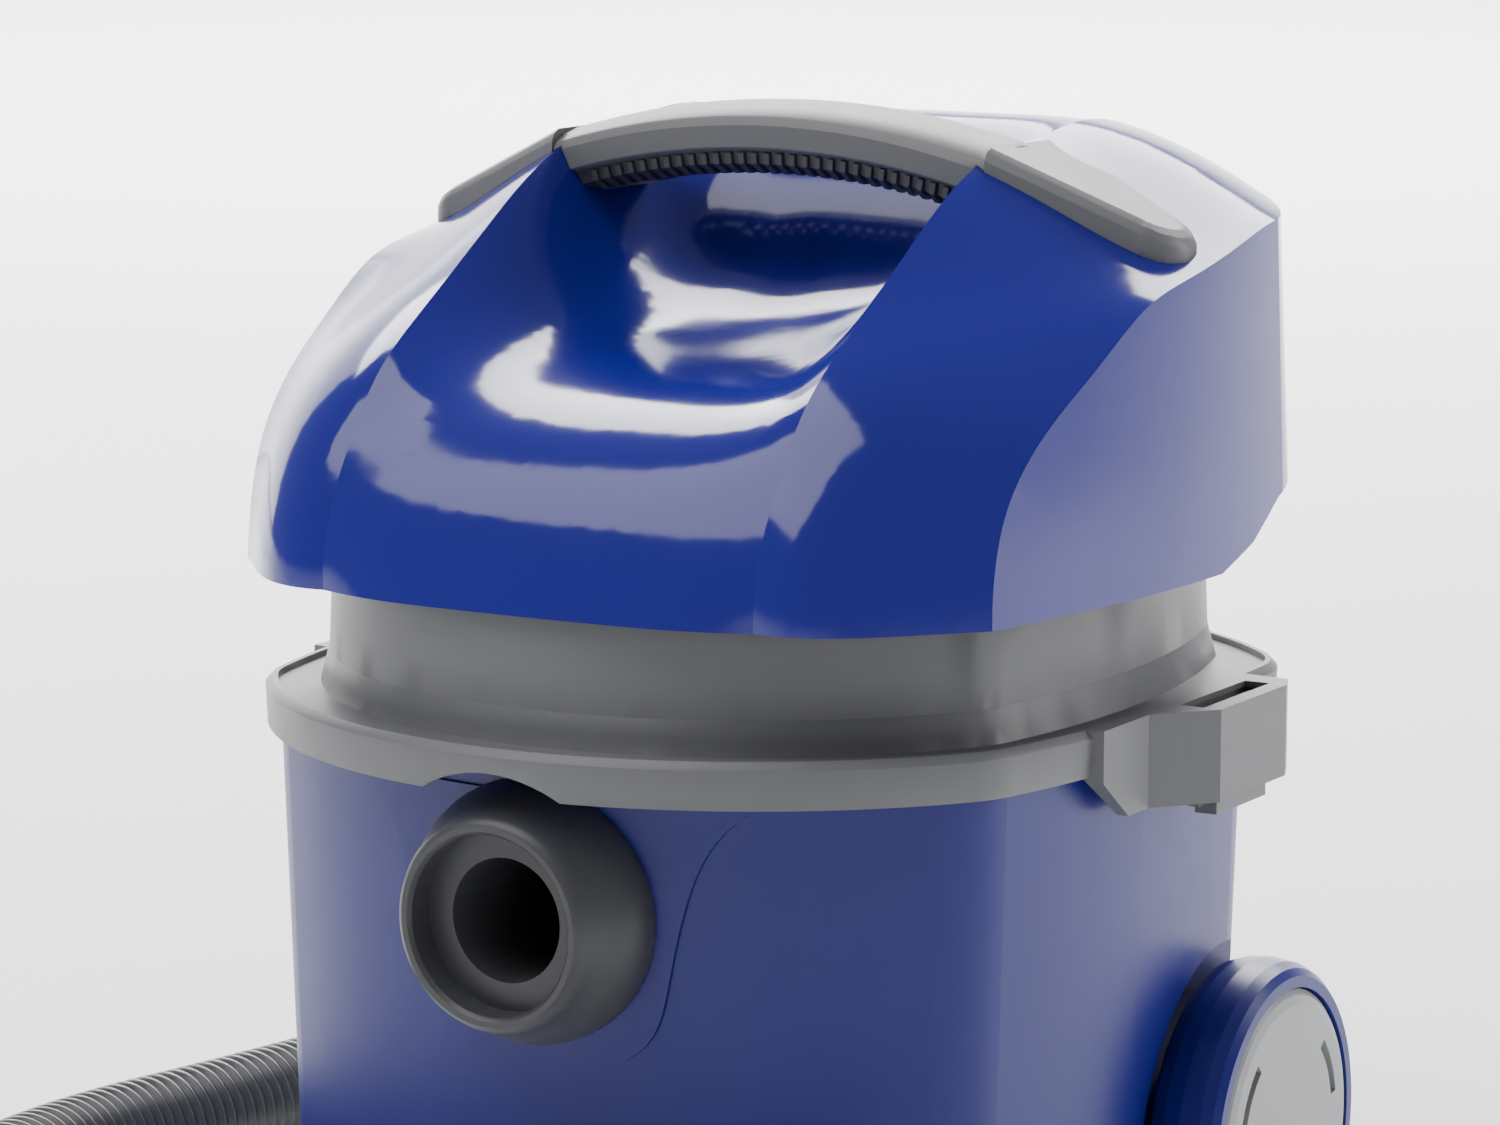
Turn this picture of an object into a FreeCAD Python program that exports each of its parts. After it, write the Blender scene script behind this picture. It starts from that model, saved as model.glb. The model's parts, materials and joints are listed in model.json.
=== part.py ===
"""Canister shop vacuum: a blue tank on wheels, a lift-off motor head and a corrugated hose.

Frame: millimetres, +Z up, -Y towards the suction inlet, origin on the floor under the middle.
Every driving size is one cell of the sheet; the pieces are bound to those cells.
"""

import FreeCAD, Part
import math
import os
import Sketcher
from FreeCAD import Placement, Rotation, Vector

# --------------------------------------------------------------------------------------------
# Driving sizes, millimetres unless the name says otherwise
# --------------------------------------------------------------------------------------------

SIZES = {
    # plan outlines: half width, corner radius, then the depth, end radius and side radius of
    # the front half and of the rear half
    "rim_half_width": 152.0,
    "rim_corner_radius": 40.0,
    "rim_half_depth": 168.5,
    "rim_end_radius": 165.0,
    "rim_side_radius": 330.0,
    "rim_rear_half_depth": 168.5,
    "rim_rear_end_radius": 192.0,
    "rim_rear_side_radius": 1200.0,
    "tank_half_width": 144.5,
    "tank_corner_radius": 35.0,
    "tank_half_depth": 142.0,
    "tank_end_radius": 214.0,
    "tank_side_radius": 430.0,
    "tank_rear_half_depth": 142.0,
    "tank_rear_end_radius": 222.0,
    "tank_rear_side_radius": 680.0,
    "neck_half_width": 134.0,
    "neck_corner_radius": 40.0,
    "neck_half_depth": 147.0,
    "neck_end_radius": 144.0,
    "neck_side_radius": 330.0,
    "neck_rear_half_depth": 137.0,
    "neck_rear_end_radius": 360.0,
    "neck_rear_side_radius": 330.0,
    # heights above the floor
    "tank_bottom": 46.0,
    "tank_top": 208.0,
    "rim_bottom": 201.5,
    "rim_top": 216.5,
    "neck_foot": 214.5,
    "neck_front_top": 260.0,
    "neck_top": 284.0,
    "dome_bottom": 255.5,
    # walls and drafts
    "tank_wall": 3.0,
    "tank_draft": 5.0,
    "lip_thickness": 4.0,
    "lip_gap": 1.5,
    "rim_wall": 3.0,
    "deck_thickness": 4.0,
    "neck_wall": 3.0,
    "neck_draft": 3.0,
    "dome_wall": 3.0,
    "seal_width": 12.0,
    "fit_clearance": 0.05,
    # suction inlet
    "inlet_height": 160.0,
    "inlet_bore_radius": 20.0,
    "inlet_tube_wall": 2.8,
    "inlet_socket_radius": 29.0,
    "inlet_socket_depth": 11.0,
    "inlet_nose_radius": 34.0,
    "inlet_flange_radius": 42.7,
    "inlet_inner_length": 34.0,
    # running gear
    "rear_wheel_radius": 59.0,
    "rear_wheel_width": 26.0,
    "rear_wheel_face": 164.0,
    "rear_axle_y": 71.0,
    "axle_radius": 5.0,
    "hub_radius": 12.0,
    "hubcap_radius": 49.5,
    "hubcap_thickness": 4.5,
    "well_clearance": 4.0,
    "caster_wheel_radius": 18.0,
    "caster_wheel_width": 14.0,
    "caster_trail": 12.0,
    "caster_x": 92.0,
    "caster_y": -86.0,
    "caster_stem_radius": 4.0,
    # handle
    "handle_half_span": 83.0,
    "handle_depth": 45.0,
    "handle_front": 0.5,
    "handle_arch_radius": 300.0,
    "handle_crest": 405.5,
    "grip_thickness": 6.0,
    "pad_length": 62.0,
    "pad_width": 59.0,
    # motor
    "motor_y": 15.0,
    "fan_radius": 62.0,
    "fan_height": 30.0,
    "shaft_radius": 4.0,
    "stator_radius": 35.0,
    "armature_radius": 22.0,
    "hood_radius": 70.0,
    "hood_height": 94.0,
    "cage_radius": 30.0,
    "cage_length": 75.0,
    "ball_radius": 18.0,
    # hose
    "hose_radius": 20.0,
    "hose_wall": 1.6,
    "port_x": -50.0,
    "port_height": 318.0,
    "wand_grip_length": 150.0,
}

doc = FreeCAD.newDocument("ShopVacuum")
sheet = doc.addObject("Spreadsheet::Sheet", "Sizes")
for row, (alias, number) in enumerate(SIZES.items(), start=1):
    sheet.set("A%d" % row, alias)
    sheet.set("B%d" % row, "%g" % number)
    sheet.setAlias("B%d" % row, alias)
doc.recompute()


class Size(float):
    """A length that remembers the sheet expression it comes from."""

    def __new__(cls, value, text):
        size = super().__new__(cls, value)
        size.text = text
        return size

    def __add__(self, other):
        return Size(float(self) + float(other), "(%s + %s)" % (self.text, text_of(other)))

    def __radd__(self, other):
        return Size(float(other) + float(self), "(%s + %s)" % (text_of(other), self.text))

    def __sub__(self, other):
        return Size(float(self) - float(other), "(%s - %s)" % (self.text, text_of(other)))

    def __rsub__(self, other):
        return Size(float(other) - float(self), "(%s - %s)" % (text_of(other), self.text))

    def __mul__(self, other):
        return Size(float(self) * float(other), "(%s * %s)" % (self.text, text_of(other)))

    def __rmul__(self, other):
        return self * other

    def __neg__(self):
        return Size(-float(self), "(-%s)" % self.text)


def text_of(value):
    """The expression of a Size, or a plain number as text."""
    return value.text if isinstance(value, Size) else "%.6f" % value


def size(alias):
    """The sheet's size of that name."""
    return Size(sheet.get(alias), "Sizes.%s" % alias)


S = {alias: size(alias) for alias in SIZES}


def bind(thing, prop, value):
    """Set a property from a number, or tie it to the sheet."""
    if isinstance(value, Size):
        thing.setExpression(prop, value.text)
    else:
        setattr(thing, prop, value)


# --------------------------------------------------------------------------------------------
# Helpers for primitives, booleans and bodies
# --------------------------------------------------------------------------------------------

ALONG_X = Rotation(Vector(0, 1, 0), 90)
ALONG_Y = Rotation(Vector(1, 0, 0), -90)
ALONG_Z = Rotation()
nodes = []


def place(thing, at=(0, 0, 0), turn=ALONG_Z):
    """Put an object somewhere, with each coordinate tied to the sheet where it comes from there."""
    thing.Placement = Placement(Vector(*[float(c) for c in at]), turn)
    for axis, value in zip("xyz", at):
        if isinstance(value, Size):
            thing.setExpression(".Placement.Base.%s" % axis, value.text)
    return thing


def cylinder(name, radius, length, at, turn=ALONG_Z):
    thing = doc.addObject("Part::Cylinder", name)
    bind(thing, "Radius", radius)
    bind(thing, "Height", length)
    return place(thing, at, turn)


def box(name, low, extent):
    thing = doc.addObject("Part::Box", name)
    for prop, value in zip(("Length", "Width", "Height"), extent):
        bind(thing, prop, value)
    return place(thing, low)


def tube(name, outer, inner, length, at, turn=ALONG_Z):
    """A round ring or tube."""
    return cut(
        name,
        cylinder(name + "_outside", outer, length, at, turn),
        cylinder(name + "_inside", inner, length, at, turn),
    )


def fuse(name, *things):
    thing = doc.addObject("Part::MultiFuse", name)
    thing.Shapes = list(things)
    thing.Refine = True
    return thing


def cut(name, base, *tools):
    thing = doc.addObject("Part::Cut", name)
    thing.Base = base
    thing.Tool = tools[0] if len(tools) == 1 else fuse(name + "_tools", *tools)
    return thing


def common(name, first, second):
    thing = doc.addObject("Part::MultiCommon", name)
    thing.Shapes = [first, second]
    return thing


def solid_of(name, shape):
    """A document object that holds a shape made by a formula."""
    thing = doc.addObject("Part::Feature", name)
    thing.Shape = shape
    return thing


def group(name, *things):
    """Separate identical solids kept as one piece of the list."""
    thing = doc.addObject("Part::Compound", name)
    thing.Links = list(things)
    return thing


def node(name, thing):
    """Name an object as one of the finished pieces."""
    thing.Label = name
    nodes.append(thing)
    return thing


def new_body(name):
    return doc.addObject("PartDesign::Body", name)


def plane_of(body, role):
    return next(f for f in body.Origin.OriginFeatures if f.Role == role)


def polygon_sketch(body, plane, points, name):
    """A closed outline of straight lines, every corner dimensioned from the origin."""
    sketch = body.newObject("Sketcher::SketchObject", name)
    sketch.AttachmentSupport = (plane_of(body, plane), [""])
    sketch.MapMode = "FlatFace"
    corners = [Vector(float(u), float(v), 0) for u, v in points]
    for start, end in zip(corners, corners[1:] + corners[:1]):
        sketch.addGeometry(Part.LineSegment(start, end), False)
    count = len(points)
    for i in range(count):
        sketch.addConstraint(Sketcher.Constraint("Coincident", i, 2, (i + 1) % count, 1))
    for i, (u, v) in enumerate(points):
        for kind, value in (("DistanceX", u), ("DistanceY", v)):
            number = sketch.addConstraint(Sketcher.Constraint(kind, -1, 1, i, 1, float(value)))
            if isinstance(value, Size):
                sketch.setExpression("Constraints[%d]" % number, value.text)
    return sketch


def turned(name, points, at=(0, 0, 0), turn=ALONG_Z):
    """A body of revolution about its own Z axis; points are (radius, height)."""
    body = new_body(name)
    sketch = polygon_sketch(body, "XZ_Plane", points, name + "_profile")
    spin = body.newObject("PartDesign::Revolution", name + "_turned")
    spin.Profile = sketch
    spin.ReferenceAxis = (sketch, ["V_Axis"])
    spin.Angle = 360
    return place(body, at, turn)


# --------------------------------------------------------------------------------------------
# Plan outlines: wide front, side and rear arcs joined by tangent corner arcs
# --------------------------------------------------------------------------------------------


def corner_points(half_width, depth, end_radius, side_radius, corner):
    """Points on the front right of an outline: end of the front arc, middle of the corner arc,
    end of the side arc and middle of the side arc."""
    end_centre = Vector(0, end_radius - depth, 0)
    side_centre = Vector(half_width - side_radius, 0, 0)
    apart = side_centre - end_centre
    near, far = end_radius - corner, side_radius - corner
    along = (near**2 - far**2 + apart.Length**2) / (2 * apart.Length)
    unit = Vector(apart).normalize()
    across = Vector(-unit.y, unit.x, 0) * math.sqrt(near**2 - along**2)
    middle = min((end_centre + unit * along + sideways for sideways in (across, -across)),
                 key=lambda point: point.y)
    to_end = (middle - end_centre).normalize()
    to_side = (middle - side_centre).normalize()
    return [end_centre + to_end * end_radius,
            middle + (to_end + to_side).normalize() * corner,
            side_centre + to_side * side_radius,
            side_centre + (to_side + Vector(1, 0, 0)).normalize() * side_radius]


def outline(part, height, inset=0.0):
    """The plan outline of the rim, tank or neck as a closed wire, moved inward by inset."""
    half_width, corner = [float(S["%s_%s" % (part, word)]) - float(inset)
                          for word in ("half_width", "corner_radius")]
    right = []
    ends = []
    for end, way in (("", 1), ("rear_", -1)):
        depth, end_radius, side_radius = [
            float(S["%s_%s%s" % (part, end, word)]) - float(inset)
            for word in ("half_depth", "end_radius", "side_radius")
        ]
        points = corner_points(half_width, depth, end_radius, side_radius, corner)
        right.append([Vector(point.x, way * point.y, 0) for point in points])
        ends.append(Vector(0, -way * depth, 0))
    (a, b, c, d), (e, f, g, h) = right
    flank = Vector(half_width, 0, 0)
    arcs = [(a, b, c), (c, d, flank), (flank, h, g), (g, f, e)]
    mirrored = [[Vector(-point.x, point.y, 0) for point in reversed(arc)] for arc in arcs]
    arcs.append((e, ends[1], mirrored[3][0]))
    arcs += [mirrored[3], mirrored[2], mirrored[1], mirrored[0]]
    arcs.append((mirrored[0][2], ends[0], a))
    wire = Part.Wire([Part.Arc(*arc).toShape() for arc in arcs])
    wire.translate(Vector(0, 0, float(height)))
    return wire


def profile(name, part, height, inset=0.0):
    return solid_of(name, outline(part, height, inset))


def between(name, part, low, high, low_inset=0.0, high_inset=0.0, upper_part=None):
    """A solid between two plan outlines."""
    loft = doc.addObject("Part::Loft", name)
    loft.Sections = [
        profile(name + "_low", part, low, low_inset),
        profile(name + "_high", upper_part or part, high, high_inset),
    ]
    loft.Solid = True
    loft.Ruled = True
    return loft


# --------------------------------------------------------------------------------------------
# Tank
# --------------------------------------------------------------------------------------------

SIDES = (("left", -1), ("right", 1))
WELL_DEPTH = S["rear_wheel_width"] + S["well_clearance"]
WELL_RADIUS = S["rear_wheel_radius"] + S["well_clearance"]
WELL_WALL_X = S["rear_wheel_face"] - WELL_DEPTH
WELL_OVERRUN = 20.0
AXLE_BOSS_LENGTH = 22.0
AXLE_BOSS_PROUD = 3.5
SOCKET_HEIGHT = 20.0
SHIELD_PROUD = 1.4


def tank_outer(name, grow=0.0):
    return between(name, "tank", S["tank_bottom"], S["tank_top"],
                   S["tank_draft"] - grow, -grow)


def tank_cavity(name, inset=0.0):
    """The inside of the tank wall, or a skin within it, open at the top."""
    wall = S["tank_wall"] + inset
    floor = S["tank_bottom"] + S["tank_wall"]
    return between(name, "tank", floor, S["tank_top"] + 20, S["tank_draft"] + wall, wall)


def wheel_well(name, side, grow=0.0):
    """The round recess that one rear wheel runs in."""
    low_x = S["rear_wheel_face"] - WELL_DEPTH - grow
    if side < 0:
        low_x = -S["rear_wheel_face"] - WELL_OVERRUN
    return cylinder(name, WELL_RADIUS + grow, WELL_DEPTH + grow + WELL_OVERRUN,
                    (low_x, S["rear_axle_y"], S["rear_wheel_radius"]), ALONG_X)


SHIELD_HALF = [(0, 110), (27, 112.5), (40, 122), (46.5, 141), (51.5, 163), (60, 184), (75, 198)]


def make_tank():
    """The moulded tank with its lip, wheel wells, bosses, latch keepers and inlet shield."""
    wells = [wheel_well("well_" + word, side) for word, side in SIDES]
    lined = [wheel_well("well_lining_" + word, side, S["tank_wall"]) for word, side in SIDES]
    skin = cut("tank_skin", tank_outer("tank_outside"), *wells)
    hollow = cut("tank_hollow", tank_cavity("tank_inside"), *lined)
    lip_inset = S["rim_wall"] + S["lip_gap"]
    lip = between("tank_lip", "rim", S["tank_top"] - S["lip_thickness"], S["tank_top"],
                  lip_inset, lip_inset)
    shield = common("inlet_shield", tank_outer("tank_raised", SHIELD_PROUD), shield_prism())
    additions = [skin, lip, shield]
    removals = []
    keeper_root = S["tank_half_width"] - 6.5
    for word, side in SIDES:
        additions.append(side_box("keeper_" + word, side, keeper_root, S["rim_half_width"] - 2,
                                  NIB_Y, NIB_LOW, NIB_LENGTH, 6.0))
    shell = fuse("tank_solid", *additions)
    bosses = []
    for word, side in SIDES:
        boss_x = side * WELL_WALL_X - (AXLE_BOSS_LENGTH if side > 0 else AXLE_BOSS_PROUD)
        bosses.append(cylinder("axle_boss_" + word, S["axle_radius"] + 4,
                               AXLE_BOSS_LENGTH + AXLE_BOSS_PROUD,
                               (boss_x, S["rear_axle_y"], S["rear_wheel_radius"]), ALONG_X))
        hole_x = side * WELL_WALL_X - (AXLE_BOSS_LENGTH - 3 if side > 0 else 5.0)
        removals.append(cylinder("axle_hole_" + word, S["axle_radius"], AXLE_BOSS_LENGTH + 2,
                                 (hole_x, S["rear_axle_y"], S["rear_wheel_radius"]), ALONG_X))
        bosses.append(cylinder("socket_boss_" + word, S["caster_stem_radius"] + 6.5,
                               SOCKET_HEIGHT + 4,
                               (side * S["caster_x"], S["caster_y"], S["tank_bottom"])))
        removals.append(cylinder("socket_hole_" + word, S["caster_stem_radius"] + 3,
                                 SOCKET_HEIGHT,
                                 (side * S["caster_x"], S["caster_y"], S["tank_bottom"])))
    removals.append(cylinder("inlet_hole", S["inlet_bore_radius"] + S["inlet_tube_wall"],
                             60.0, (0.0, -170.0, S["inlet_height"]), ALONG_Y))
    shelled = cut("tank_shelled", shell, hollow)
    lip_notch = common("tank_lip_notch", inlet_arch("tank_notch_round"),
                       box("tank_notch_box", (-80.0, -200.0, 190.0), (160.0, 56.0, 30.0)))
    removals.append(lip_notch)
    tank = cut("tank_drilled", fuse("tank_with_bosses", shelled, *bosses), *removals)
    return node("tank_shell", tank)


def shield_prism():
    """A prism through the front wall, in the smooth outline of the shield round the inlet."""
    left = [Vector(-x, -200, z) for x, z in reversed(SHIELD_HALF[1:])]
    edge = Part.BSplineCurve()
    edge.interpolate(left + [Vector(x, -200, z) for x, z in SHIELD_HALF])
    top = [Vector(x, -200, SHIELD_HALF[-1][1]) for x in (SHIELD_HALF[-1][0], -SHIELD_HALF[-1][0])]
    face = Part.Face(Part.Wire([edge.toShape(), Part.makeLine(*top)]))
    return solid_of("shield_prism", face.extrude(Vector(0, 100, 0)))


def inlet_arch(name):
    """The round clearance that the rim and the tank's lip leave over the inlet."""
    return cylinder(name, S["inlet_flange_radius"] + 6, 60.0, (0.0, -200.0, S["inlet_height"]),
                    ALONG_Y)


def make_inlet():
    """The dark inlet: a domed flange, a nose with the hose socket, and a tube into the tank."""
    nose = -S["rim_half_depth"]
    bore, wall = S["inlet_bore_radius"], S["inlet_tube_wall"]
    socket, depth = S["inlet_socket_radius"], S["inlet_socket_depth"]
    flange = S["inlet_flange_radius"]
    inner_end = S["rim_half_depth"] - S["tank_half_depth"] + S["inlet_inner_length"]
    back = S["rim_half_depth"] - S["tank_half_depth"] + 12
    body = turned("inlet_turned", [
        (bore, depth), (socket, depth), (socket, 1.5), (socket + 1.2, 0.0),
        (S["inlet_nose_radius"] - 2, 0.0), (S["inlet_nose_radius"] - 0.5, 1.0),
        (S["inlet_nose_radius"] + 0.6, 3.0), (S["inlet_nose_radius"] + 2.2, 8.0),
        (flange - 4.1, 13.0), (flange - 1.8, 18.0), (flange - 0.3, 23.0), (flange, 26.0),
        (flange, back), (bore + wall, back), (bore + wall, inner_end), (bore, inner_end),
    ], (0.0, nose, S["inlet_height"]), ALONG_Y)
    tank_block = cut("tank_block", tank_outer("tank_block_outside", 0.0),
                     cylinder("inlet_passage", bore + wall, 90.0,
                              (0.0, nose, S["inlet_height"]), ALONG_Y))
    raised = common("shield_seat", tank_outer("tank_raised_again", SHIELD_PROUD), shield_prism())
    seat = cut("shield_seat_bored", raised,
               cylinder("shield_passage", bore + wall, 90.0,
                        (0.0, nose, S["inlet_height"]), ALONG_Y))
    node("inlet_port", cut("inlet_fitted", body, tank_block, seat))
    inside = -S["tank_half_depth"]
    for name, radius, start, skin in (("inlet_gasket", 34.0, 0.0, 2.0),
                                      ("inlet_locknut", 36.0, 2.0, 9.0)):
        ring = tube(name + "_ring", radius, bore + wall, 40.0,
                    (0.0, inside - 10, S["inlet_height"]), ALONG_Y)
        layer = cut(name + "_layer", tank_cavity(name + "_from", start),
                    tank_cavity(name + "_to", start + skin))
        node(name, common(name + "_cut", ring, layer))


def make_deflector():
    """The elbow on the inner end of the inlet that turns the air stream downward."""
    inner_end = S["inlet_inner_length"] - S["tank_half_depth"]
    inner = S["inlet_bore_radius"] + S["inlet_tube_wall"]
    outer = inner + 2.4
    bend = 34.0
    sleeve = tube("deflector_sleeve", outer, inner, 14.0,
                  (0.0, inner_end - 14, S["inlet_height"]), ALONG_Y)
    centre = Vector(0, float(inner_end), float(S["inlet_height"]))
    turns = []
    for radius in (float(outer), float(inner) - 0.2):
        disc = Part.Face(Part.Wire(Part.makeCircle(radius, centre, Vector(0, 1, 0))))
        axis_point = centre - Vector(0, 0, bend)
        turns.append(disc.revolve(axis_point, Vector(1, 0, 0), -80))
    elbow = solid_of("deflector_elbow", turns[0].cut(turns[1]))
    node("inlet_deflector", fuse("deflector_joined", sleeve, elbow))


# --------------------------------------------------------------------------------------------
# Rear wheels and front casters
# --------------------------------------------------------------------------------------------


def make_rear_wheel(word, side):
    """A tyred wheel with a recessed hubcap, turning on a stub axle pressed into the tank."""
    radius, width = S["rear_wheel_radius"], S["rear_wheel_width"]
    face, cap = S["hubcap_radius"], S["hubcap_thickness"]
    shaft, hub = S["axle_radius"], S["hub_radius"]
    turn = ALONG_X if side > 0 else Rotation(Vector(0, 1, 0), -90)
    inner_face = side * (S["rear_wheel_face"] - width)
    at = (inner_face, S["rear_axle_y"], radius)
    node("rear_wheel_" + word, turned("rear_wheel_%s_body" % word, [
        (shaft + S["fit_clearance"], 0.0), (hub, 0.0), (hub, 8.0), (face - 4, 8.0),
        (face - 4, 2.0), (radius - 5, 0.5), (radius - 2, 2.5), (radius - 0.5, 7.0),
        (radius, width * 0.5), (radius - 0.8, width - 6), (radius - 2.6, width - 2.2),
        (radius - 5, width), (face + 0.6, width), (face + 0.6, width - cap),
        (face - 6, width - cap), (face - 6, 12.0), (hub, 12.0), (hub, width - 9),
        (shaft + S["fit_clearance"], width - 9),
    ], at, turn))
    hubcap = turned("hubcap_%s_body" % word, [
        (0.0, width - cap), (hub, width - cap), (hub, width - 14), (hub + 2, width - 14),
        (hub + 2, width - cap), (face, width - cap), (face, width - 1.6),
        (face - 2, width), (face - 5, width + 0.8), (0.0, width + 1.0),
    ], at, turn)
    node("hubcap_" + word, cut("hubcap_%s_slotted" % word, hubcap, *hubcap_slots(word, side)))
    node("rear_axle_" + word, cylinder(
        "axle_pin_" + word, shaft, AXLE_BOSS_LENGTH + width - 6.5,
        (side * (WELL_WALL_X - (AXLE_BOSS_LENGTH - 3)), S["rear_axle_y"], radius), turn))
    clip_at = (side * (S["rear_wheel_face"] - 8.8), S["rear_axle_y"], radius)
    node("axle_clip_" + word, tube("axle_clip_%s_ring" % word, hub - 3, shaft, 1.4, clip_at, turn))


def hubcap_slots(word, side):
    """Three short arc slots through the hubcap."""
    slots = []
    for count in range(3):
        start = 100 + 120 * count
        ring = Part.makeCylinder(39, 12).cut(Part.makeCylinder(35, 12))
        wedge = Part.makeCylinder(45, 12, Vector(0, 0, 0), Vector(0, 0, 1), 34)
        wedge.rotate(Vector(0, 0, 0), Vector(0, 0, 1), start)
        slot = solid_of("hubcap_slot_%s_%d" % (word, count), ring.common(wedge))
        face = side * (S["rear_wheel_face"] - 6)
        turn = ALONG_X if side > 0 else Rotation(Vector(0, 1, 0), -90)
        slots.append(place(slot, (face, S["rear_axle_y"], S["rear_wheel_radius"]), turn))
    return slots


def make_caster(word, side):
    """A swivel caster: sleeve in the tank, stem, fork, pin and wheel."""
    x, y, radius = side * S["caster_x"], S["caster_y"], S["caster_wheel_radius"]
    stem, trail, width = S["caster_stem_radius"], S["caster_trail"], S["caster_wheel_width"]
    bottom = S["tank_bottom"]
    node("caster_sleeve_" + word, tube("caster_sleeve_%s_ring" % word, stem + 3,
                                       stem + S["fit_clearance"], SOCKET_HEIGHT,
                                       (x, y, bottom)))
    node("caster_stem_" + word, fuse("caster_stem_%s_shape" % word, cylinder(
        "stem_rod_" + word, stem, SOCKET_HEIGHT + 3, (x, y, bottom - 6)), cylinder(
        "stem_collar_" + word, stem + 2.5, 3.4, (x, y, bottom - 4))))
    top = bottom - 8
    half = width * 0.5 + 1.0
    plate = box("fork_plate_" + word, (x - half - 3, y - 12, top), (half * 2 + 6, 38.0, 4.0))
    legs = [box("fork_leg_%s_%d" % (word, i), (x + start, y + trail - 8, radius - 6),
                (3.0, 16.0, top - radius + 6.5))
            for i, start in enumerate((-half - 3, half))]
    holes = [cylinder("fork_pin_hole_" + word, 2.5, half * 2 + 8,
                      (x - half - 4, y + trail, radius), ALONG_X),
             cylinder("fork_stem_hole_" + word, stem, 9.0, (x, y, top + 2))]
    node("caster_fork_" + word, cut("fork_%s_drilled" % word,
                                    fuse("fork_%s_solid" % word, plate, *legs), *holes))
    node("caster_pin_" + word, cylinder("fork_pin_" + word, 2.5, half * 2 + 7,
                                        (x - half - 3.5, y + trail, radius), ALONG_X))
    node("caster_wheel_" + word, turned("caster_wheel_%s_body" % word, [
        (2.5 + S["fit_clearance"], 0.0), (6.0, 0.0), (6.0, 2.0), (radius - 5, 2.0),
        (radius - 4, 0.5), (radius - 1.2, 1.5), (radius, width * 0.5),
        (radius - 1.2, width - 1.5), (radius - 4, width - 0.5), (radius - 5, width - 2),
        (6.0, width - 2), (6.0, width), (2.5 + S["fit_clearance"], width),
    ], (x - width * 0.5, y + trail, radius), ALONG_X))


# --------------------------------------------------------------------------------------------
# Head: rim, neck and deck in one moulding, with its latches
# --------------------------------------------------------------------------------------------

DECK_LOW = S["rim_top"] - S["deck_thickness"]
LATCH_LOW = 179.5
LATCH_PIN_Z = 210.5
LATCH_Y = 10.0
LATCH_LENGTH = 43.0
NIB_Y = 14.0
NIB_LENGTH = 35.0
NIB_LOW = 188.0
PIN_START = 1.0
PIN_LENGTH = 63.0
MOTOR_HOLE = 15.0
# The bulge outside the rim that houses a latch: (distance beyond the rim's half width, y)
BLOCK = [(-12, -48), (0, -46), (0, -14), (16, 6), (16, 56), (12, 66), (-12, 68)]
BLOCK_BOTTOM = 186.0


def side_box(name, side, near, far, low_y, low_z, width, height):
    """A box from one distance beside the middle plane to another, on either side."""
    low_x = near if side > 0 else -far
    return box(name, (low_x, low_y, low_z), (far - near, width, height))


def block_shape(name, side):
    """One side bulge of the rim that houses a latch, with a sloped lower front."""
    reach = float(S["rim_half_width"])
    corners = [Vector(side * (reach + x), y, BLOCK_BOTTOM) for x, y in BLOCK]
    height = float(S["rim_top"]) - BLOCK_BOTTOM
    prism = Part.Face(Part.makePolygon(corners + corners[:1])).extrude(Vector(0, 0, height))
    slope = [Vector(0, -60, 180), Vector(0, -22, 180), Vector(0, -28, 186), Vector(0, -48, 201),
             Vector(0, -60, 203)]
    wedge = Part.Face(Part.makePolygon(slope + slope[:1])).extrude(Vector(side * 2 * reach, 0, 0))
    return solid_of(name, prism.cut(wedge))


def latch_pin(name, radius, side):
    """A rod on a latch's hinge line."""
    return cylinder(name, radius, PIN_LENGTH,
                    (side * (S["rim_half_width"] + 5), PIN_START, LATCH_PIN_Z), ALONG_Y)


def neck_trim():
    """The space above the neck wall, lower at the front than at the back."""
    front, rear = float(S["neck_front_top"]), float(S["neck_top"])
    corners = [Vector(-200, -200, front), Vector(-200, 0, front), Vector(-200, 40, rear),
               Vector(-200, 40, rear + 20), Vector(-200, -200, rear + 20)]
    face = Part.Face(Part.makePolygon(corners + corners[:1]))
    return solid_of("neck_trim", face.extrude(Vector(400, 0, 0)))


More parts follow.
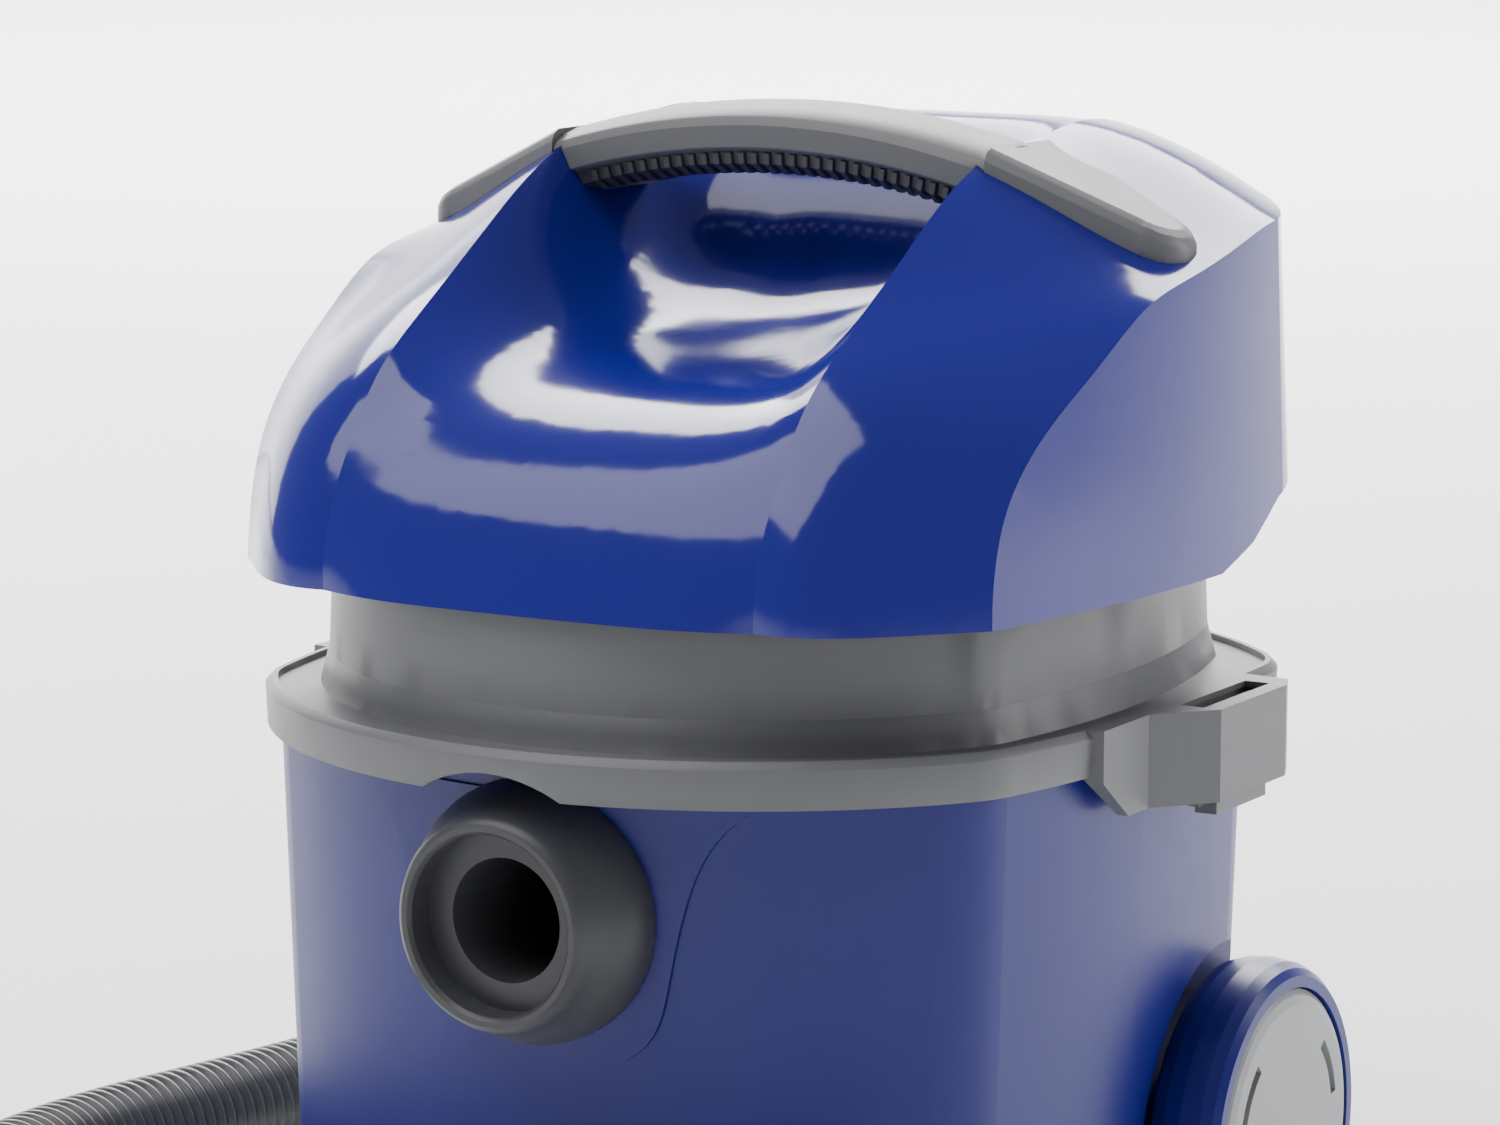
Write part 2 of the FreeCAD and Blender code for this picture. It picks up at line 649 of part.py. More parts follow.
def make_head_base():
    rim_low, rim_high, foot, top = (S["rim_bottom"], S["rim_top"], S["neck_foot"], S["neck_top"])
    skirt = between("rim_skirt", "rim", rim_low, rim_high - 2.5, 0.8, 0.3)
    shoulder = between("rim_shoulder", "rim", rim_high - 2.5, rim_high, 0.3, 2.6)
    groove = between("rim_groove", "rim", foot, rim_high + 1, 4.5, 4.5)
    flare = between("neck_flare", "neck", foot, foot + 11, -2.5, 0.4)
    neck = between("neck_outside", "neck", foot, top, 0.0, S["neck_draft"])
    blocks = [block_shape("latch_block_" + word, side) for word, side in SIDES]
    rim = cut("rim_grooved", fuse("rim_solid", skirt, shoulder, *blocks), groove)
    outside = fuse("head_base_solid", rim, flare, neck)
    wall = S["neck_wall"]
    removals = [
        between("neck_inside", "neck", rim_high, top + 1, wall, S["neck_draft"] + wall),
        between("rim_inside", "rim", rim_low - 16, DECK_LOW, S["rim_wall"], S["rim_wall"]),
        cylinder("motor_hole", MOTOR_HOLE, 20.0, (0.0, S["motor_y"], DECK_LOW - 5)),
        neck_trim(),
        common("rim_notch", inlet_arch("rim_notch_round"),
               box("rim_notch_box", (-80.0, -200.0, rim_low - 2), (160.0, 60.0, 30.0))),
    ]
    reach = S["rim_half_width"]
    for word, side in SIDES:
        removals.append(side_box("latch_bay_" + word, side, reach, reach + 11.5, LATCH_Y - 2,
                                 BLOCK_BOTTOM - 1, LATCH_LENGTH + 7,
                                 rim_high - BLOCK_BOTTOM - 1))
        removals.append(side_box("latch_slot_" + word, side, reach + 1, reach + 10, LATCH_Y - 4,
                                 rim_high - 4, LATCH_LENGTH + 7, 12.0))
        removals.append(side_box("keeper_window_" + word, side, reach - 6, reach + 1, NIB_Y - 2,
                                 BLOCK_BOTTOM - 1, NIB_LENGTH + 4, 11.0))
        removals.append(latch_pin("latch_pin_hole_" + word, 2.0, side))
    removals += [cylinder("deck_screw_hole_%d" % i, 2.0, 12.0, (x, y, DECK_LOW - 2))
                 for i, (x, y) in enumerate(DOME_SCREWS)]
    removals.append(box("grille_opening", GRILLE_LOW, GRILLE_EXTENT))
    removals.append(box("switch_opening", (-13.5, 120.0, 229.0), (27.0, 30.0, 18.0)))
    removals.append(cylinder("gland_hole", 6.0, 30.0, (GLAND_X, 112.0, GLAND_Z), ALONG_Y))
    node("head_base", cut("head_base_cut", outside, *removals))
    low, inset = S["tank_top"], S["rim_wall"] + S["lip_gap"] + 2
    node("rim_seal", cut("seal_ring", between("seal_outside", "rim", low, DECK_LOW, inset, inset),
                         between("seal_inside", "rim", low - 1, DECK_LOW + 1,
                                 inset + S["seal_width"], inset + S["seal_width"])))


def make_latch(word, side):
    """A hinged side clip: a plate on a pin, a finger tab below and a nib beside the keeper."""
    reach = S["rim_half_width"]
    plate = side_box("latch_plate_" + word, side, reach + 2.6, reach + 6.6, LATCH_Y,
                     LATCH_LOW + 3, LATCH_LENGTH, LATCH_PIN_Z - LATCH_LOW - 3)
    eye = cylinder("latch_eye_" + word, 3.6, LATCH_LENGTH,
                   (side * (reach + 5), LATCH_Y, LATCH_PIN_Z), ALONG_Y)
    tab = side_box("latch_tab_" + word, side, reach + 2.6, reach + 10.6, LATCH_Y + 5, LATCH_LOW,
                   LATCH_LENGTH - 5, 4.0)
    nib = side_box("latch_nib_" + word, side, reach - 1.6, reach + 3, NIB_Y, NIB_LOW,
                   NIB_LENGTH, 5.0)
    node("latch_" + word, cut("latch_%s_drilled" % word,
                              fuse("latch_%s_solid" % word, plate, eye, tab, nib),
                              latch_pin("latch_eye_hole_" + word, 2.0 + S["fit_clearance"],
                                        side)))
    node("latch_pin_" + word, latch_pin("latch_pin_%s_rod" % word, 2.0, side))


# --------------------------------------------------------------------------------------------
# Dome cover
# --------------------------------------------------------------------------------------------

DOME_SCREWS = [(x, y) for x in (-98, 98) for y in (-62, 76)]
GRILLE_LOW = (-78.0, 100.0, 228.0)
GRILLE_EXTENT = (54.0, 60.0, 20.0)
GLAND_X, GLAND_Z = 62.0, 240.0
DOME_SIDE_RADIUS = 600.0
DOME_HALF_WIDTH = 155.0
DOME_PLAN_LOW = 240.0
DOME_LEAN = 7.0
DOME_REAR = 142.0

# Front-to-back outlines of the dome, (y, height), at the creases, the mid shoulder and the side
CREASE = [(-141, 255.5), (-137, 280), (-126, 300), (-110, 321), (-82, 341), (-50, 361),
          (5, 389), (49, 395), (76, 398), (104, 396), (150, 378)]
SHOULDER = [(-127, 255.5), (-122, 280), (-113, 298), (-97, 316), (-66, 336), (-33, 352),
            (12, 371), (50, 379.5), (80, 384), (106, 382), (152, 364)]
CHEEK = [(-95, 255.5), (-93, 274), (-88, 291), (-73, 311), (-45, 331), (-15, 348),
         (14, 356), (50, 363), (84, 368), (110, 366), (154, 346)]
MIDDLE = [(-151, 255.5), (-143, 278), (-131, 296), (-112, 310), (-80, 320), (-45, 325),
          (0, 330), (36, 343), (62, 372), (96, 394), (150, 378)]


def dome_section(points, x, wall):
    """A closed front-to-back section of the dome: a smooth top line over a straight base."""
    top = [Vector(x, y, z) for y, z in points]
    if wall:
        moved = []
        for i, point in enumerate(top):
            before, after = top[max(i - 1, 0)], top[min(i + 1, len(top) - 1)]
            along = (after - before).normalize()
            moved.append(point + Vector(0, along.z, -along.y) * wall)
        top = moved
    floor = float(S["dome_bottom"]) - (10 if wall else 0)
    top[0] = Vector(x, top[0].y, floor)
    line = Part.BSplineCurve()
    line.interpolate(top)
    back = Vector(x, top[-1].y, floor)
    return Part.Wire([line.toShape(), Part.makeLine(top[-1], back), Part.makeLine(back, top[0])])


def mixed(first, second, share):
    return [(a[0] + (b[0] - a[0]) * share, a[1] + (b[1] - a[1]) * share)
            for a, b in zip(first, second)]


def dome_block(name, wall):
    """The dome's outer solid, or its hollow when a wall thickness is given."""
    crease = float(S["handle_half_span"]) - 3
    side_x = DOME_HALF_WIDTH + 6
    valley = [dome_section(mixed(MIDDLE, CREASE, share), x * crease, wall) for x, share in (
        (-1, 1), (-0.9, 0.72), (-0.7, 0.3), (-0.4, 0.06), (0, 0), (0.4, 0.06), (0.7, 0.3),
        (0.9, 0.72), (1, 1))]
    parts = [Part.makeLoft(valley, True, False)]
    beyond = mixed(SHOULDER, CHEEK, 1.35)
    for side in (-1, 1):
        sections = [dome_section(CREASE, side * crease, wall),
                    dome_section(SHOULDER, side * 115, wall),
                    dome_section(CHEEK, side * 145, wall),
                    dome_section(beyond, side * side_x, wall)]
        parts.append(Part.makeLoft(sections, True, False))
    block = parts[0].fuse(parts[1:])
    prism = Part.makeLoft([dome_plan(wall, DOME_PLAN_LOW), dome_plan(wall + DOME_LEAN, 430.0)],
                          True, True)
    return solid_of(name, block.common(prism))


def dome_plan(inset, height):
    """The dome's plan outline behind its front: bowed sides, rounded corners, bowed back."""
    side, middle_y = DOME_SIDE_RADIUS, 30.0
    half, rear = DOME_HALF_WIDTH - inset, DOME_REAR - inset
    front_y, corner_y = middle_y - 230.0, middle_y + 58.0
    front_x = half - side + math.sqrt(side**2 - (middle_y - front_y) ** 2)
    corner_x = half - side + math.sqrt(side**2 - (corner_y - middle_y) ** 2)
    inner_x, inner_y = corner_x - 52, rear - 6
    right = Part.Arc(Vector(front_x, front_y, 0), Vector(half, middle_y, 0),
                     Vector(corner_x, corner_y, 0))
    corner = Part.Arc(Vector(corner_x, corner_y, 0), Vector(corner_x - 18, rear - 20, 0),
                      Vector(inner_x, inner_y, 0))
    back = Part.Arc(Vector(inner_x, inner_y, 0), Vector(0, rear, 0), Vector(-inner_x, inner_y, 0))
    far_corner = Part.Arc(Vector(-inner_x, inner_y, 0), Vector(18 - corner_x, rear - 20, 0),
                          Vector(-corner_x, corner_y, 0))
    left = Part.Arc(Vector(-corner_x, corner_y, 0), Vector(-half, middle_y, 0),
                    Vector(-front_x, front_y, 0))
    front = Part.LineSegment(Vector(-front_x, front_y, 0), Vector(front_x, front_y, 0))
    wire = Part.Wire([e.toShape() for e in (right, corner, back, far_corner, left, front)])
    wire.translate(Vector(0, 0, height))
    return wire


def dome_hem():
    """The space below the hem line, which sweeps up towards the back."""
    bottom = float(S["dome_bottom"])
    low = [Vector(-200, 34, bottom - 20), Vector(-200, 34, bottom), Vector(-200, 60, bottom + 7),
           Vector(-200, 84, bottom + 19), Vector(-200, 104, bottom + 24),
           Vector(-200, 170, bottom + 24), Vector(-200, 170, bottom - 20)]
    face = Part.Face(Part.makePolygon(low + low[:1]))
    return solid_of("dome_hem", face.extrude(Vector(400, 0, 0)))


def make_dome():
    """The blue cover: a shell with four screw bosses and the opening for the blower port."""
    outside = dome_block("dome_outside", 0.0)
    hollow = dome_block("dome_inside", float(S["dome_wall"]))
    shell = cut("dome_skin", outside, hollow)
    bosses = []
    holes = [dome_hem(), cylinder("port_opening", PORT_OUTER, 60.0,
                                  (S["port_x"], DOME_REAR - 40, S["port_height"]), ALONG_Y)]
    for i, (x, y) in enumerate(DOME_SCREWS):
        post = cylinder("dome_post_%d" % i, 5.0, 185.0, (x, y, S["rim_top"]))
        bosses.append(common("dome_post_%d_cut" % i, post, outside))
        foot = cylinder("dome_foot_%d" % i, 5.0, S["dome_bottom"] - S["rim_top"] + 2,
                        (x, y, S["rim_top"]))
        bosses.append(foot)
        holes.append(cylinder("dome_post_hole_%d" % i, 2.0, 30.0, (x, y, S["rim_top"] - 1)))
    whole = fuse("dome_bossed", cut("dome_trimmed", shell, *holes[:2]), *bosses)
    node("dome_cover", cut("dome_drilled", whole, *holes[2:]))
    screws = []
    for i, (x, y) in enumerate(DOME_SCREWS):
        screws.append(fuse("head_screw_%d" % i,
                           cylinder("head_screw_shank_%d" % i, 2.0, 22.0, (x, y, DECK_LOW - 0.5)),
                           cylinder("head_screw_head_%d" % i, 4.0, 2.0, (x, y, DECK_LOW - 2))))
    node("head_screws", group("head_screw_set", *screws))
    return outside


# --------------------------------------------------------------------------------------------
# Handle
# --------------------------------------------------------------------------------------------


def arch(name, section, half_angle):
    """A section in the middle plane swept both ways along the handle's arch."""
    centre = Vector(0, 0, float(S["handle_crest"]) - float(S["handle_arch_radius"]))
    face = Part.Face(Part.makePolygon(section + section[:1]))
    face.rotate(centre, Vector(0, 1, 0), -half_angle)
    return solid_of(name, face.revolve(centre, Vector(0, 1, 0), 2 * half_angle))


def make_handle(dome):
    """The arched bar, its ribbed dark grip underneath and the two end pads on the shoulders."""
    front, depth, crest = S["handle_front"], S["handle_depth"], S["handle_crest"]
    rear = front + depth
    reach = float(S["handle_arch_radius"]) - 8
    half_angle = math.degrees(math.asin(float(S["handle_half_span"]) / reach))
    bar_line = [(front, crest - 15), (front, crest - 7.5), (front + 1.6, crest - 4.5),
                (front + 7, crest - 2), (front + 15, crest - 0.5), (front + depth * 0.5, crest),
                (rear - 15, crest - 0.5), (rear - 7, crest - 2), (rear - 1.6, crest - 4.5),
                (rear, crest - 7.5), (rear, crest - 15), (rear - 3, crest - 16.5),
                (front + 3, crest - 16.5)]
    bar = arch("handle_arch", [Vector(0, float(y), float(z)) for y, z in bar_line], half_angle)
    node("handle_bar", cut("handle_bar_fitted", bar, dome))
    low = crest - 16.5
    grip_line = [(front + 3.2, low), (rear - 3.2, low), (rear - 4, low - 4),
                 (rear - 9, low - S["grip_thickness"]), (front + 9, low - S["grip_thickness"]),
                 (front + 4, low - 4)]
    grip = arch("grip_arch", [Vector(0, float(y), float(z)) for y, z in grip_line],
                half_angle - 0.4)
    node("handle_grip", cut("handle_grip_fitted", grip, dome))
    for word, side in SIDES:
        block = pad_block("handle_pad_%s_block" % word, side)
        node("handle_pad_" + word, cut("handle_pad_%s_fitted" % word, block, dome, bar))


def pad_block(name, side):
    """A pad that runs down the shoulder and narrows to a round end, chamfered all round."""
    start, length = float(S["handle_half_span"]) + 0.2, float(S["pad_length"])
    front, depth = float(S["handle_front"]), float(S["pad_width"])
    crest = float(S["handle_crest"])
    reach = float(S["handle_arch_radius"])
    seam_top = crest - reach + math.sqrt(reach**2 - start**2)
    layers = []
    for inset, lift in ((0.0, -48.0), (0.0, -4.0), (1.5, -1.4), (4.5, 0.0)):
        end = start + length - inset
        low, high = front + inset, front + depth - inset
        tip_low, tip_high = low + 12, high - 18
        round_depth = (tip_high - tip_low) * 0.42
        near = [Vector(start, low, 0), Vector(end - round_depth, tip_low, 0),
                Vector(end, (tip_low + tip_high) / 2, 0), Vector(end - round_depth, tip_high, 0),
                Vector(start, high, 0)]
        slope = math.tan(math.radians(24))
        lifted = [Vector(side * p.x, p.y, seam_top + lift - slope * (p.x - start)) for p in near]
        layers.append(Part.Wire([
            Part.makeLine(lifted[0], lifted[1]),
            Part.Arc(lifted[1], lifted[2], lifted[3]).toShape(),
            Part.makeLine(lifted[3], lifted[4]),
            Part.makeLine(lifted[4], lifted[0]),
        ]))
    return solid_of(name, Part.makeLoft(layers, True, True))


# --------------------------------------------------------------------------------------------
# Rear fittings of the head
# --------------------------------------------------------------------------------------------

PORT_INNER = S["hose_radius"] - 0.5
PORT_OUTER = S["hose_radius"] + 2.5
PORT_END = 151.0
ROCKER_Y, ROCKER_Z = 133.0, 238.0
ROCKER_PIN = 1.6
ROCKER_HALF = 12.0


def make_rear_fittings(dome):
    at = (S["port_x"], 98.0, S["port_height"])
    pipe = cylinder("port_pipe", PORT_OUTER, PORT_END - 98.0, at, ALONG_Y)
    collar = cut("port_collar_fitted",
                 cylinder("port_collar", PORT_OUTER + 5, 24.0,
                          (S["port_x"], DOME_REAR - 18, S["port_height"]), ALONG_Y), dome)
    bore = cylinder("port_bore", PORT_INNER, 70.0, (S["port_x"], 95.0, S["port_height"]), ALONG_Y)
    node("blower_port", cut("blower_port_bored", fuse("blower_port_solid", pipe, collar), bore))
    neck = between("neck_again", "neck", S["neck_foot"], S["neck_top"], 0.0, S["neck_draft"])
    inside = between("neck_inside_again", "neck", S["rim_top"], S["neck_top"] + 1,
                     S["neck_wall"], S["neck_draft"] + S["neck_wall"])
    wall = cut("neck_wall_ring", neck, inside)
    panel = common("grille_panel", wall, box("grille_box", GRILLE_LOW, GRILLE_EXTENT))
    slots = [box("grille_slot_%d" % i, (GRILLE_LOW[0] + 4 + 8 * i, 100.0, GRILLE_LOW[2] + 3),
                 (4.0, 60.0, 14.0)) for i in range(6)]
    node("exhaust_grille", cut("grille_slotted", panel, *slots))
    gland = fuse("gland_solid",
                 cylinder("gland_body", 6.0, 26.0, (GLAND_X, 118.0, GLAND_Z), ALONG_Y),
                 cut("gland_flange_fitted",
                     cylinder("gland_flange", 9.5, 8.0, (GLAND_X, 129.0, GLAND_Z), ALONG_Y), neck))
    node("cord_gland", cut("gland_bored", gland, cylinder("gland_bore", 3.6, 40.0,
                                                          (GLAND_X, 112.0, GLAND_Z), ALONG_Y)))
    bezel_block = fuse("bezel_solid",
                       box("bezel_body", (-13.5, 124.0, 229.0), (27.0, 12.0, 18.0)),
                       cut("bezel_flange_fitted",
                           box("bezel_flange", (-16.5, 130.0, 226.0), (33.0, 8.5, 24.0)), neck))
    node("switch_bezel", cut("bezel_cut", bezel_block,
                             box("bezel_window", (-10.0, 120.0, 232.0), (20.0, 30.0, 12.0)),
                             cylinder("bezel_pivot", ROCKER_PIN + S["fit_clearance"],
                                      2 * ROCKER_HALF + 0.6,
                                      (-ROCKER_HALF - 0.3, ROCKER_Y, ROCKER_Z), ALONG_X)))
    rocker_line = [(131.0, 233.2), (131.0, 242.8), (138.0, 242.6), (140.4, 242.4),
                   (139.2, 238.0), (138.2, 233.6)]
    corners = [Vector(-9.6, y, z) for y, z in rocker_line]
    key = Part.Face(Part.makePolygon(corners + corners[:1])).extrude(Vector(19.2, 0, 0))
    pin = cylinder("rocker_pin", ROCKER_PIN, 2 * ROCKER_HALF, (-ROCKER_HALF, ROCKER_Y, ROCKER_Z),
                   ALONG_X)
    node("power_rocker", fuse("rocker_solid", solid_of("rocker_key", key), pin))


# --------------------------------------------------------------------------------------------
# Motor, fan, float and filter
# --------------------------------------------------------------------------------------------


def ring_at(name, outer, inner, low, height):
    return tube(name, outer, inner, height, (0.0, S["motor_y"], low))


def make_motor():
    y, deck, fan, shaft = S["motor_y"], S["rim_top"], S["fan_radius"], S["shaft_radius"]
    low = deck + 4
    high = low + S["fan_height"]
    at = (0.0, y, 0.0)
    node("motor_gasket", ring_at("gasket_ring", fan + 2, fan - 10, deck, 4.0))
    node("fan_housing", turned("fan_housing_body", [
        (MOTOR_HOLE, low), (fan, low), (fan, high), (14.0, high), (14.0, high + 7),
        (11.0, high + 7), (11.0, high - 1.5), (fan - 1.5, high - 1.5), (fan - 1.5, low + 1.5),
        (MOTOR_HOLE, low + 1.5)], at))
    node("fan_impeller", fan_impeller(low + 5, high - 7))
    base = high + 11
    node("motor_shaft", cylinder("shaft_rod", shaft, base + 43 - low - 4, (0.0, y, low + 4)))
    node("lower_bearing", ring_at("lower_bearing_ring", 11.0,
                                  shaft + S["fit_clearance"], high, 7.0))
    node("armature_core", ring_at("armature_ring", S["armature_radius"], shaft, base, 20.0))
    node("commutator", ring_at("commutator_ring", 11.0, shaft, base + 24, 9.0))
    stator = cut("stator_bored", ring_at("stator_ring", S["stator_radius"],
                                         S["armature_radius"] + 1, base, 20.0),
                 *[box("stator_window_%d" % i, (-12.0, y + start, base - 1), (24.0, 6.0, 22.0))
                   for i, start in enumerate((-30.0, 24.0))])
    node("stator_core", stator)
    coils = [box("coil_%d" % i, (-11.5, y + start, base - 3), (23.0, 5.4, 26.0))
             for i, start in enumerate((-29.7, 24.3))]
    node("field_coils", group("coil_pair", *coils))
    brushes = [box("brush_%d" % i, (start, y - 3, base + 26), (16.0, 6.0, 5.0))
               for i, start in enumerate((-27.3, 11.3))]
    node("carbon_brushes", group("brush_pair", *brushes))
    top = base + 35
    posts = [box("bracket_post_%d" % i, (start, y - 6, high), (5.0, 12.0, top + 5 - high))
             for i, start in enumerate((-41.0, 36.0))]
    bridge = box("bracket_bridge", (-41.0, y - 13, top), (82.0, 26.0, 6.0))
    holders = [box("brush_holder_%d" % i, (start, y - 5, base + 31.2), (14.0, 10.0, 6.0))
               for i, start in enumerate((-28.0, 14.0))]
    seat = cylinder("bracket_bearing_seat", 9.5, 7.0, (0.0, y, top - 0.5))
    node("motor_bracket", cut("bracket_bored", fuse("bracket_solid", bridge, *posts, *holders),
                              seat))
    node("upper_bearing", ring_at("upper_bearing_ring", 9.5,
                                  shaft + S["fit_clearance"], top, 6.0))
    hood, height = S["hood_radius"], S["hood_height"]
    shell = turned("motor_hood_body", [
        (hood - 2, deck), (hood, deck), (hood, deck + height), (12.0, deck + height),
        (12.0, deck + height - 2), (hood - 2, deck + height - 2)], at)
    vents = [place(solid_of("hood_vent_%d" % i, Part.makeBox(40, 12, 22, Vector(50, -6, 0))),
                   (0.0, y, deck + 60), Rotation(Vector(0, 0, 1), 60 * i + 30)) for i in range(6)]
    node("motor_hood", cut("hood_vented", shell, *vents))


def fan_impeller(low, high):
    """A closed impeller: two discs with seven curved blades between them."""
    radius, shaft = float(S["fan_radius"]) - 6, float(S["shaft_radius"])
    middle = Vector(0, float(S["motor_y"]), 0)
    low, high = float(low), float(high)
    discs = [Part.makeCylinder(radius, 1.2, middle + Vector(0, 0, level))
             for level in (low, high - 1.2)]
    hub = Part.makeCylinder(9, high - low, middle + Vector(0, 0, low))
    solid = discs[0].fuse([discs[1], hub])
    for count in range(7):
        blade = Part.makeCylinder(34, high - low, Vector(30, 0, low)).cut(
            Part.makeCylinder(32.6, high - low, Vector(30, 0, low)))
        sector = Part.makeBox(radius, radius, high - low, Vector(6, 0, low))
        blade = blade.common(sector).common(Part.makeCylinder(radius, high - low,
                                                              Vector(0, 0, low)))
        blade.rotate(Vector(0, 0, 0), Vector(0, 0, 1), 360 / 7 * count)
        blade.translate(middle)
        solid = solid.fuse(blade)
    eye = Part.makeCylinder(16, 2, middle + Vector(0, 0, low - 0.5)).cut(
        Part.makeCylinder(9, 2, middle + Vector(0, 0, low - 0.5)))
    bore = Part.makeCylinder(shaft, high - low + 2, middle + Vector(0, 0, low - 1))
    return solid_of("impeller_shape", solid.cut(eye).cut(bore).removeSplitter())


def make_float_and_filter():
    y, cage, length = S["motor_y"], S["cage_radius"], S["cage_length"]
    low = DECK_LOW - length
    basket = turned("float_cage_body", [
        (cage, low), (cage, DECK_LOW - 4), (cage + 18, DECK_LOW - 4), (cage + 18, DECK_LOW),
        (cage - 2.5, DECK_LOW), (cage - 2.5, low + 3), (8.0, low + 3), (8.0, low)],
        (0.0, y, 0.0))
    windows = [place(solid_of("cage_window_%d" % i, Part.makeBox(50, 16, 34, Vector(0, -8, 0))),
                     (0.0, y, low + 14), Rotation(Vector(0, 0, 1), 60 * i)) for i in range(6)]
    node("float_cage", cut("float_cage_windowed", basket, *windows))
    ball = doc.addObject("Part::Sphere", "float_sphere")
    bind(ball, "Radius", S["ball_radius"])
    node("float_ball", place(ball, (0.0, y, low + 3.3 + S["ball_radius"])))
    node("filter_sleeve", turned("filter_sleeve_body", [
        (0.0, low - 9), (cage + 14, low - 9), (cage + 14, DECK_LOW - 4), (cage + 4, DECK_LOW - 4),
        (cage + 4, low - 2), (0.0, low - 2)], (0.0, y, 0.0)))


# --------------------------------------------------------------------------------------------
# Hose
# --------------------------------------------------------------------------------------------

CUFF_START = 128.0
CUFF_END = 195.0
HOSE_FLOOR = 20.6
HOSE_ROUTE = [
    (-50, CUFF_END, 318), (-50, 290, 318), (-75, 372, 278), (-119, 419, 209), (-170, 419, 130),
    (-215, 372, 60), (-240, 290, HOSE_FLOOR), (-240, 195, HOSE_FLOOR), (-230, 112, HOSE_FLOOR),
    (-244, 30, HOSE_FLOOR), (-264, -52, HOSE_FLOOR), (-254, -140, HOSE_FLOOR),
    (-206, -214, HOSE_FLOOR), (-130, -264, HOSE_FLOOR), (-38, -286, HOSE_FLOOR),
    (48, -280, HOSE_FLOOR),
]


def bend_radius(before, corner, after):
    """The arc at a corner: 0.45 of the shorter run over the tangent of half the turn."""
    first, second = corner - before, after - corner
    half_turn = first.getAngle(second) / 2
    return 0.45 * min(first.Length, second.Length) / math.tan(half_turn)


def hose_path():
    """Straight runs joined by a tangent arc at every corner of the chosen route."""
    points = [Vector(*point) for point in HOSE_ROUTE]
    edges = []
    start = points[0]
    for before, corner, after in zip(points, points[1:], points[2:]):
        radius = bend_radius(before, corner, after)
        incoming, outgoing = (corner - before).normalize(), (after - corner).normalize()
        half_turn = incoming.getAngle(outgoing) / 2
        reach = radius * math.tan(half_turn)
        entry, leave = corner - incoming * reach, corner + outgoing * reach
        inward = (outgoing - incoming).normalize()
        middle = corner + inward * (radius / math.cos(half_turn) - radius)
        edges.append(Part.LineSegment(start, entry).toShape())
        edges.append(Part.Arc(entry, middle, leave).toShape())
        start = leave
        print("hose bend radius %.0f mm" % radius)
    edges.append(Part.LineSegment(start, points[-1]).toShape())
    return Part.Wire(edges)


def make_hose():
    """The corrugated tube, the cuff that plugs into the blower port and the hand grip."""
    outer, wall = float(S["hose_radius"]), float(S["hose_wall"])
    path = hose_path()
    start, along = path.Edges[0].Vertexes[0].Point, path.Edges[0].tangentAt(0)
    rings = [Part.Wire(Part.makeCircle(radius, start, along)) for radius in (outer, outer - wall)]
    solids = [path.makePipeShell([ring], True, False) for ring in rings]
    hose = solids[0].cut(solids[1])
    expected = math.pi * (outer**2 - (outer - wall) ** 2) * path.Length
    print("hose length %.0f mm, volume ratio %.4f" % (path.Length, hose.Volume / expected))
    node("hose_tube", solid_of("hose_pipe", hose))
    radius = S["hose_radius"]
    cuff = turned("hose_cuff_body", [
        (radius - 3, 0.0), (PORT_INNER - 0.1, 0.0), (PORT_INNER - 0.1, PORT_END - CUFF_START),
        (radius + 4.5, PORT_END - CUFF_START), (radius + 4.5, PORT_END - CUFF_START + 10),
        (radius + 1.5, PORT_END - CUFF_START + 16), (radius + 1.5, CUFF_END - CUFF_START),
        (radius - 3, CUFF_END - CUFF_START)], (S["port_x"], CUFF_START, S["port_height"]), ALONG_Y)
    node("hose_cuff", cuff)
    before, end = (Vector(*point) for point in HOSE_ROUTE[-2:])
    length = S["wand_grip_length"]
    grip = turned("hose_grip_body", [
        (radius - 3, 0.0), (radius + 0.4, 0.0), (radius + 0.4, 34.0), (radius - 1.5, 42.0),
        (radius - 3.0, length - 32), (radius - 3.0, length), (radius - 5.2, length),
        (radius - 5.2, length - 32), (radius - 4, 42.0)],
        tuple(end), Rotation(Vector(0, 0, 1), end - before))
    node("hose_grip", grip)


# --------------------------------------------------------------------------------------------
# Everything, in order, then the checks and the files
# --------------------------------------------------------------------------------------------


def build():
    make_tank()
    make_inlet()
    make_deflector()
    for word, side in SIDES:
        make_rear_wheel(word, side)
        make_caster(word, side)
    make_head_base()
    for word, side in SIDES:
        make_latch(word, side)
    dome = make_dome()
    make_handle(dome)
    make_rear_fittings(dome)
    make_motor()
    make_float_and_filter()
    make_hose()
    doc.recompute()


def checked():
    """Stop with a message if any object failed or any piece has no sound shape."""
    faults = ["%s: %s" % (thing.Name, thing.State) for thing in doc.Objects
              if "Invalid" in thing.State or "Error" in thing.State]
    for piece in nodes:
        if piece.Shape.isNull() or not piece.Shape.isValid() or not piece.Shape.Solids:
            faults.append("%s has no valid shape" % piece.Label)
    if faults:
        raise RuntimeError("; ".join(faults))


build()
checked()
os.makedirs("parts", exist_ok=True)
for piece in nodes:
    piece.Shape.exportStep(os.path.join("parts", piece.Label + ".step"))
print("%d pieces" % len(nodes))
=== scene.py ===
"""Looks of the canister shop vacuum, built round its frame.

Frame: metres, +Z up, -Y towards the suction inlet, origin on the floor under the middle.
Pieces whose shape in the frame is right keep it and only take a finish. The rest are built here.
"""

from __future__ import annotations

import json
import logging
import math
from dataclasses import dataclass
from typing import Optional, Sequence

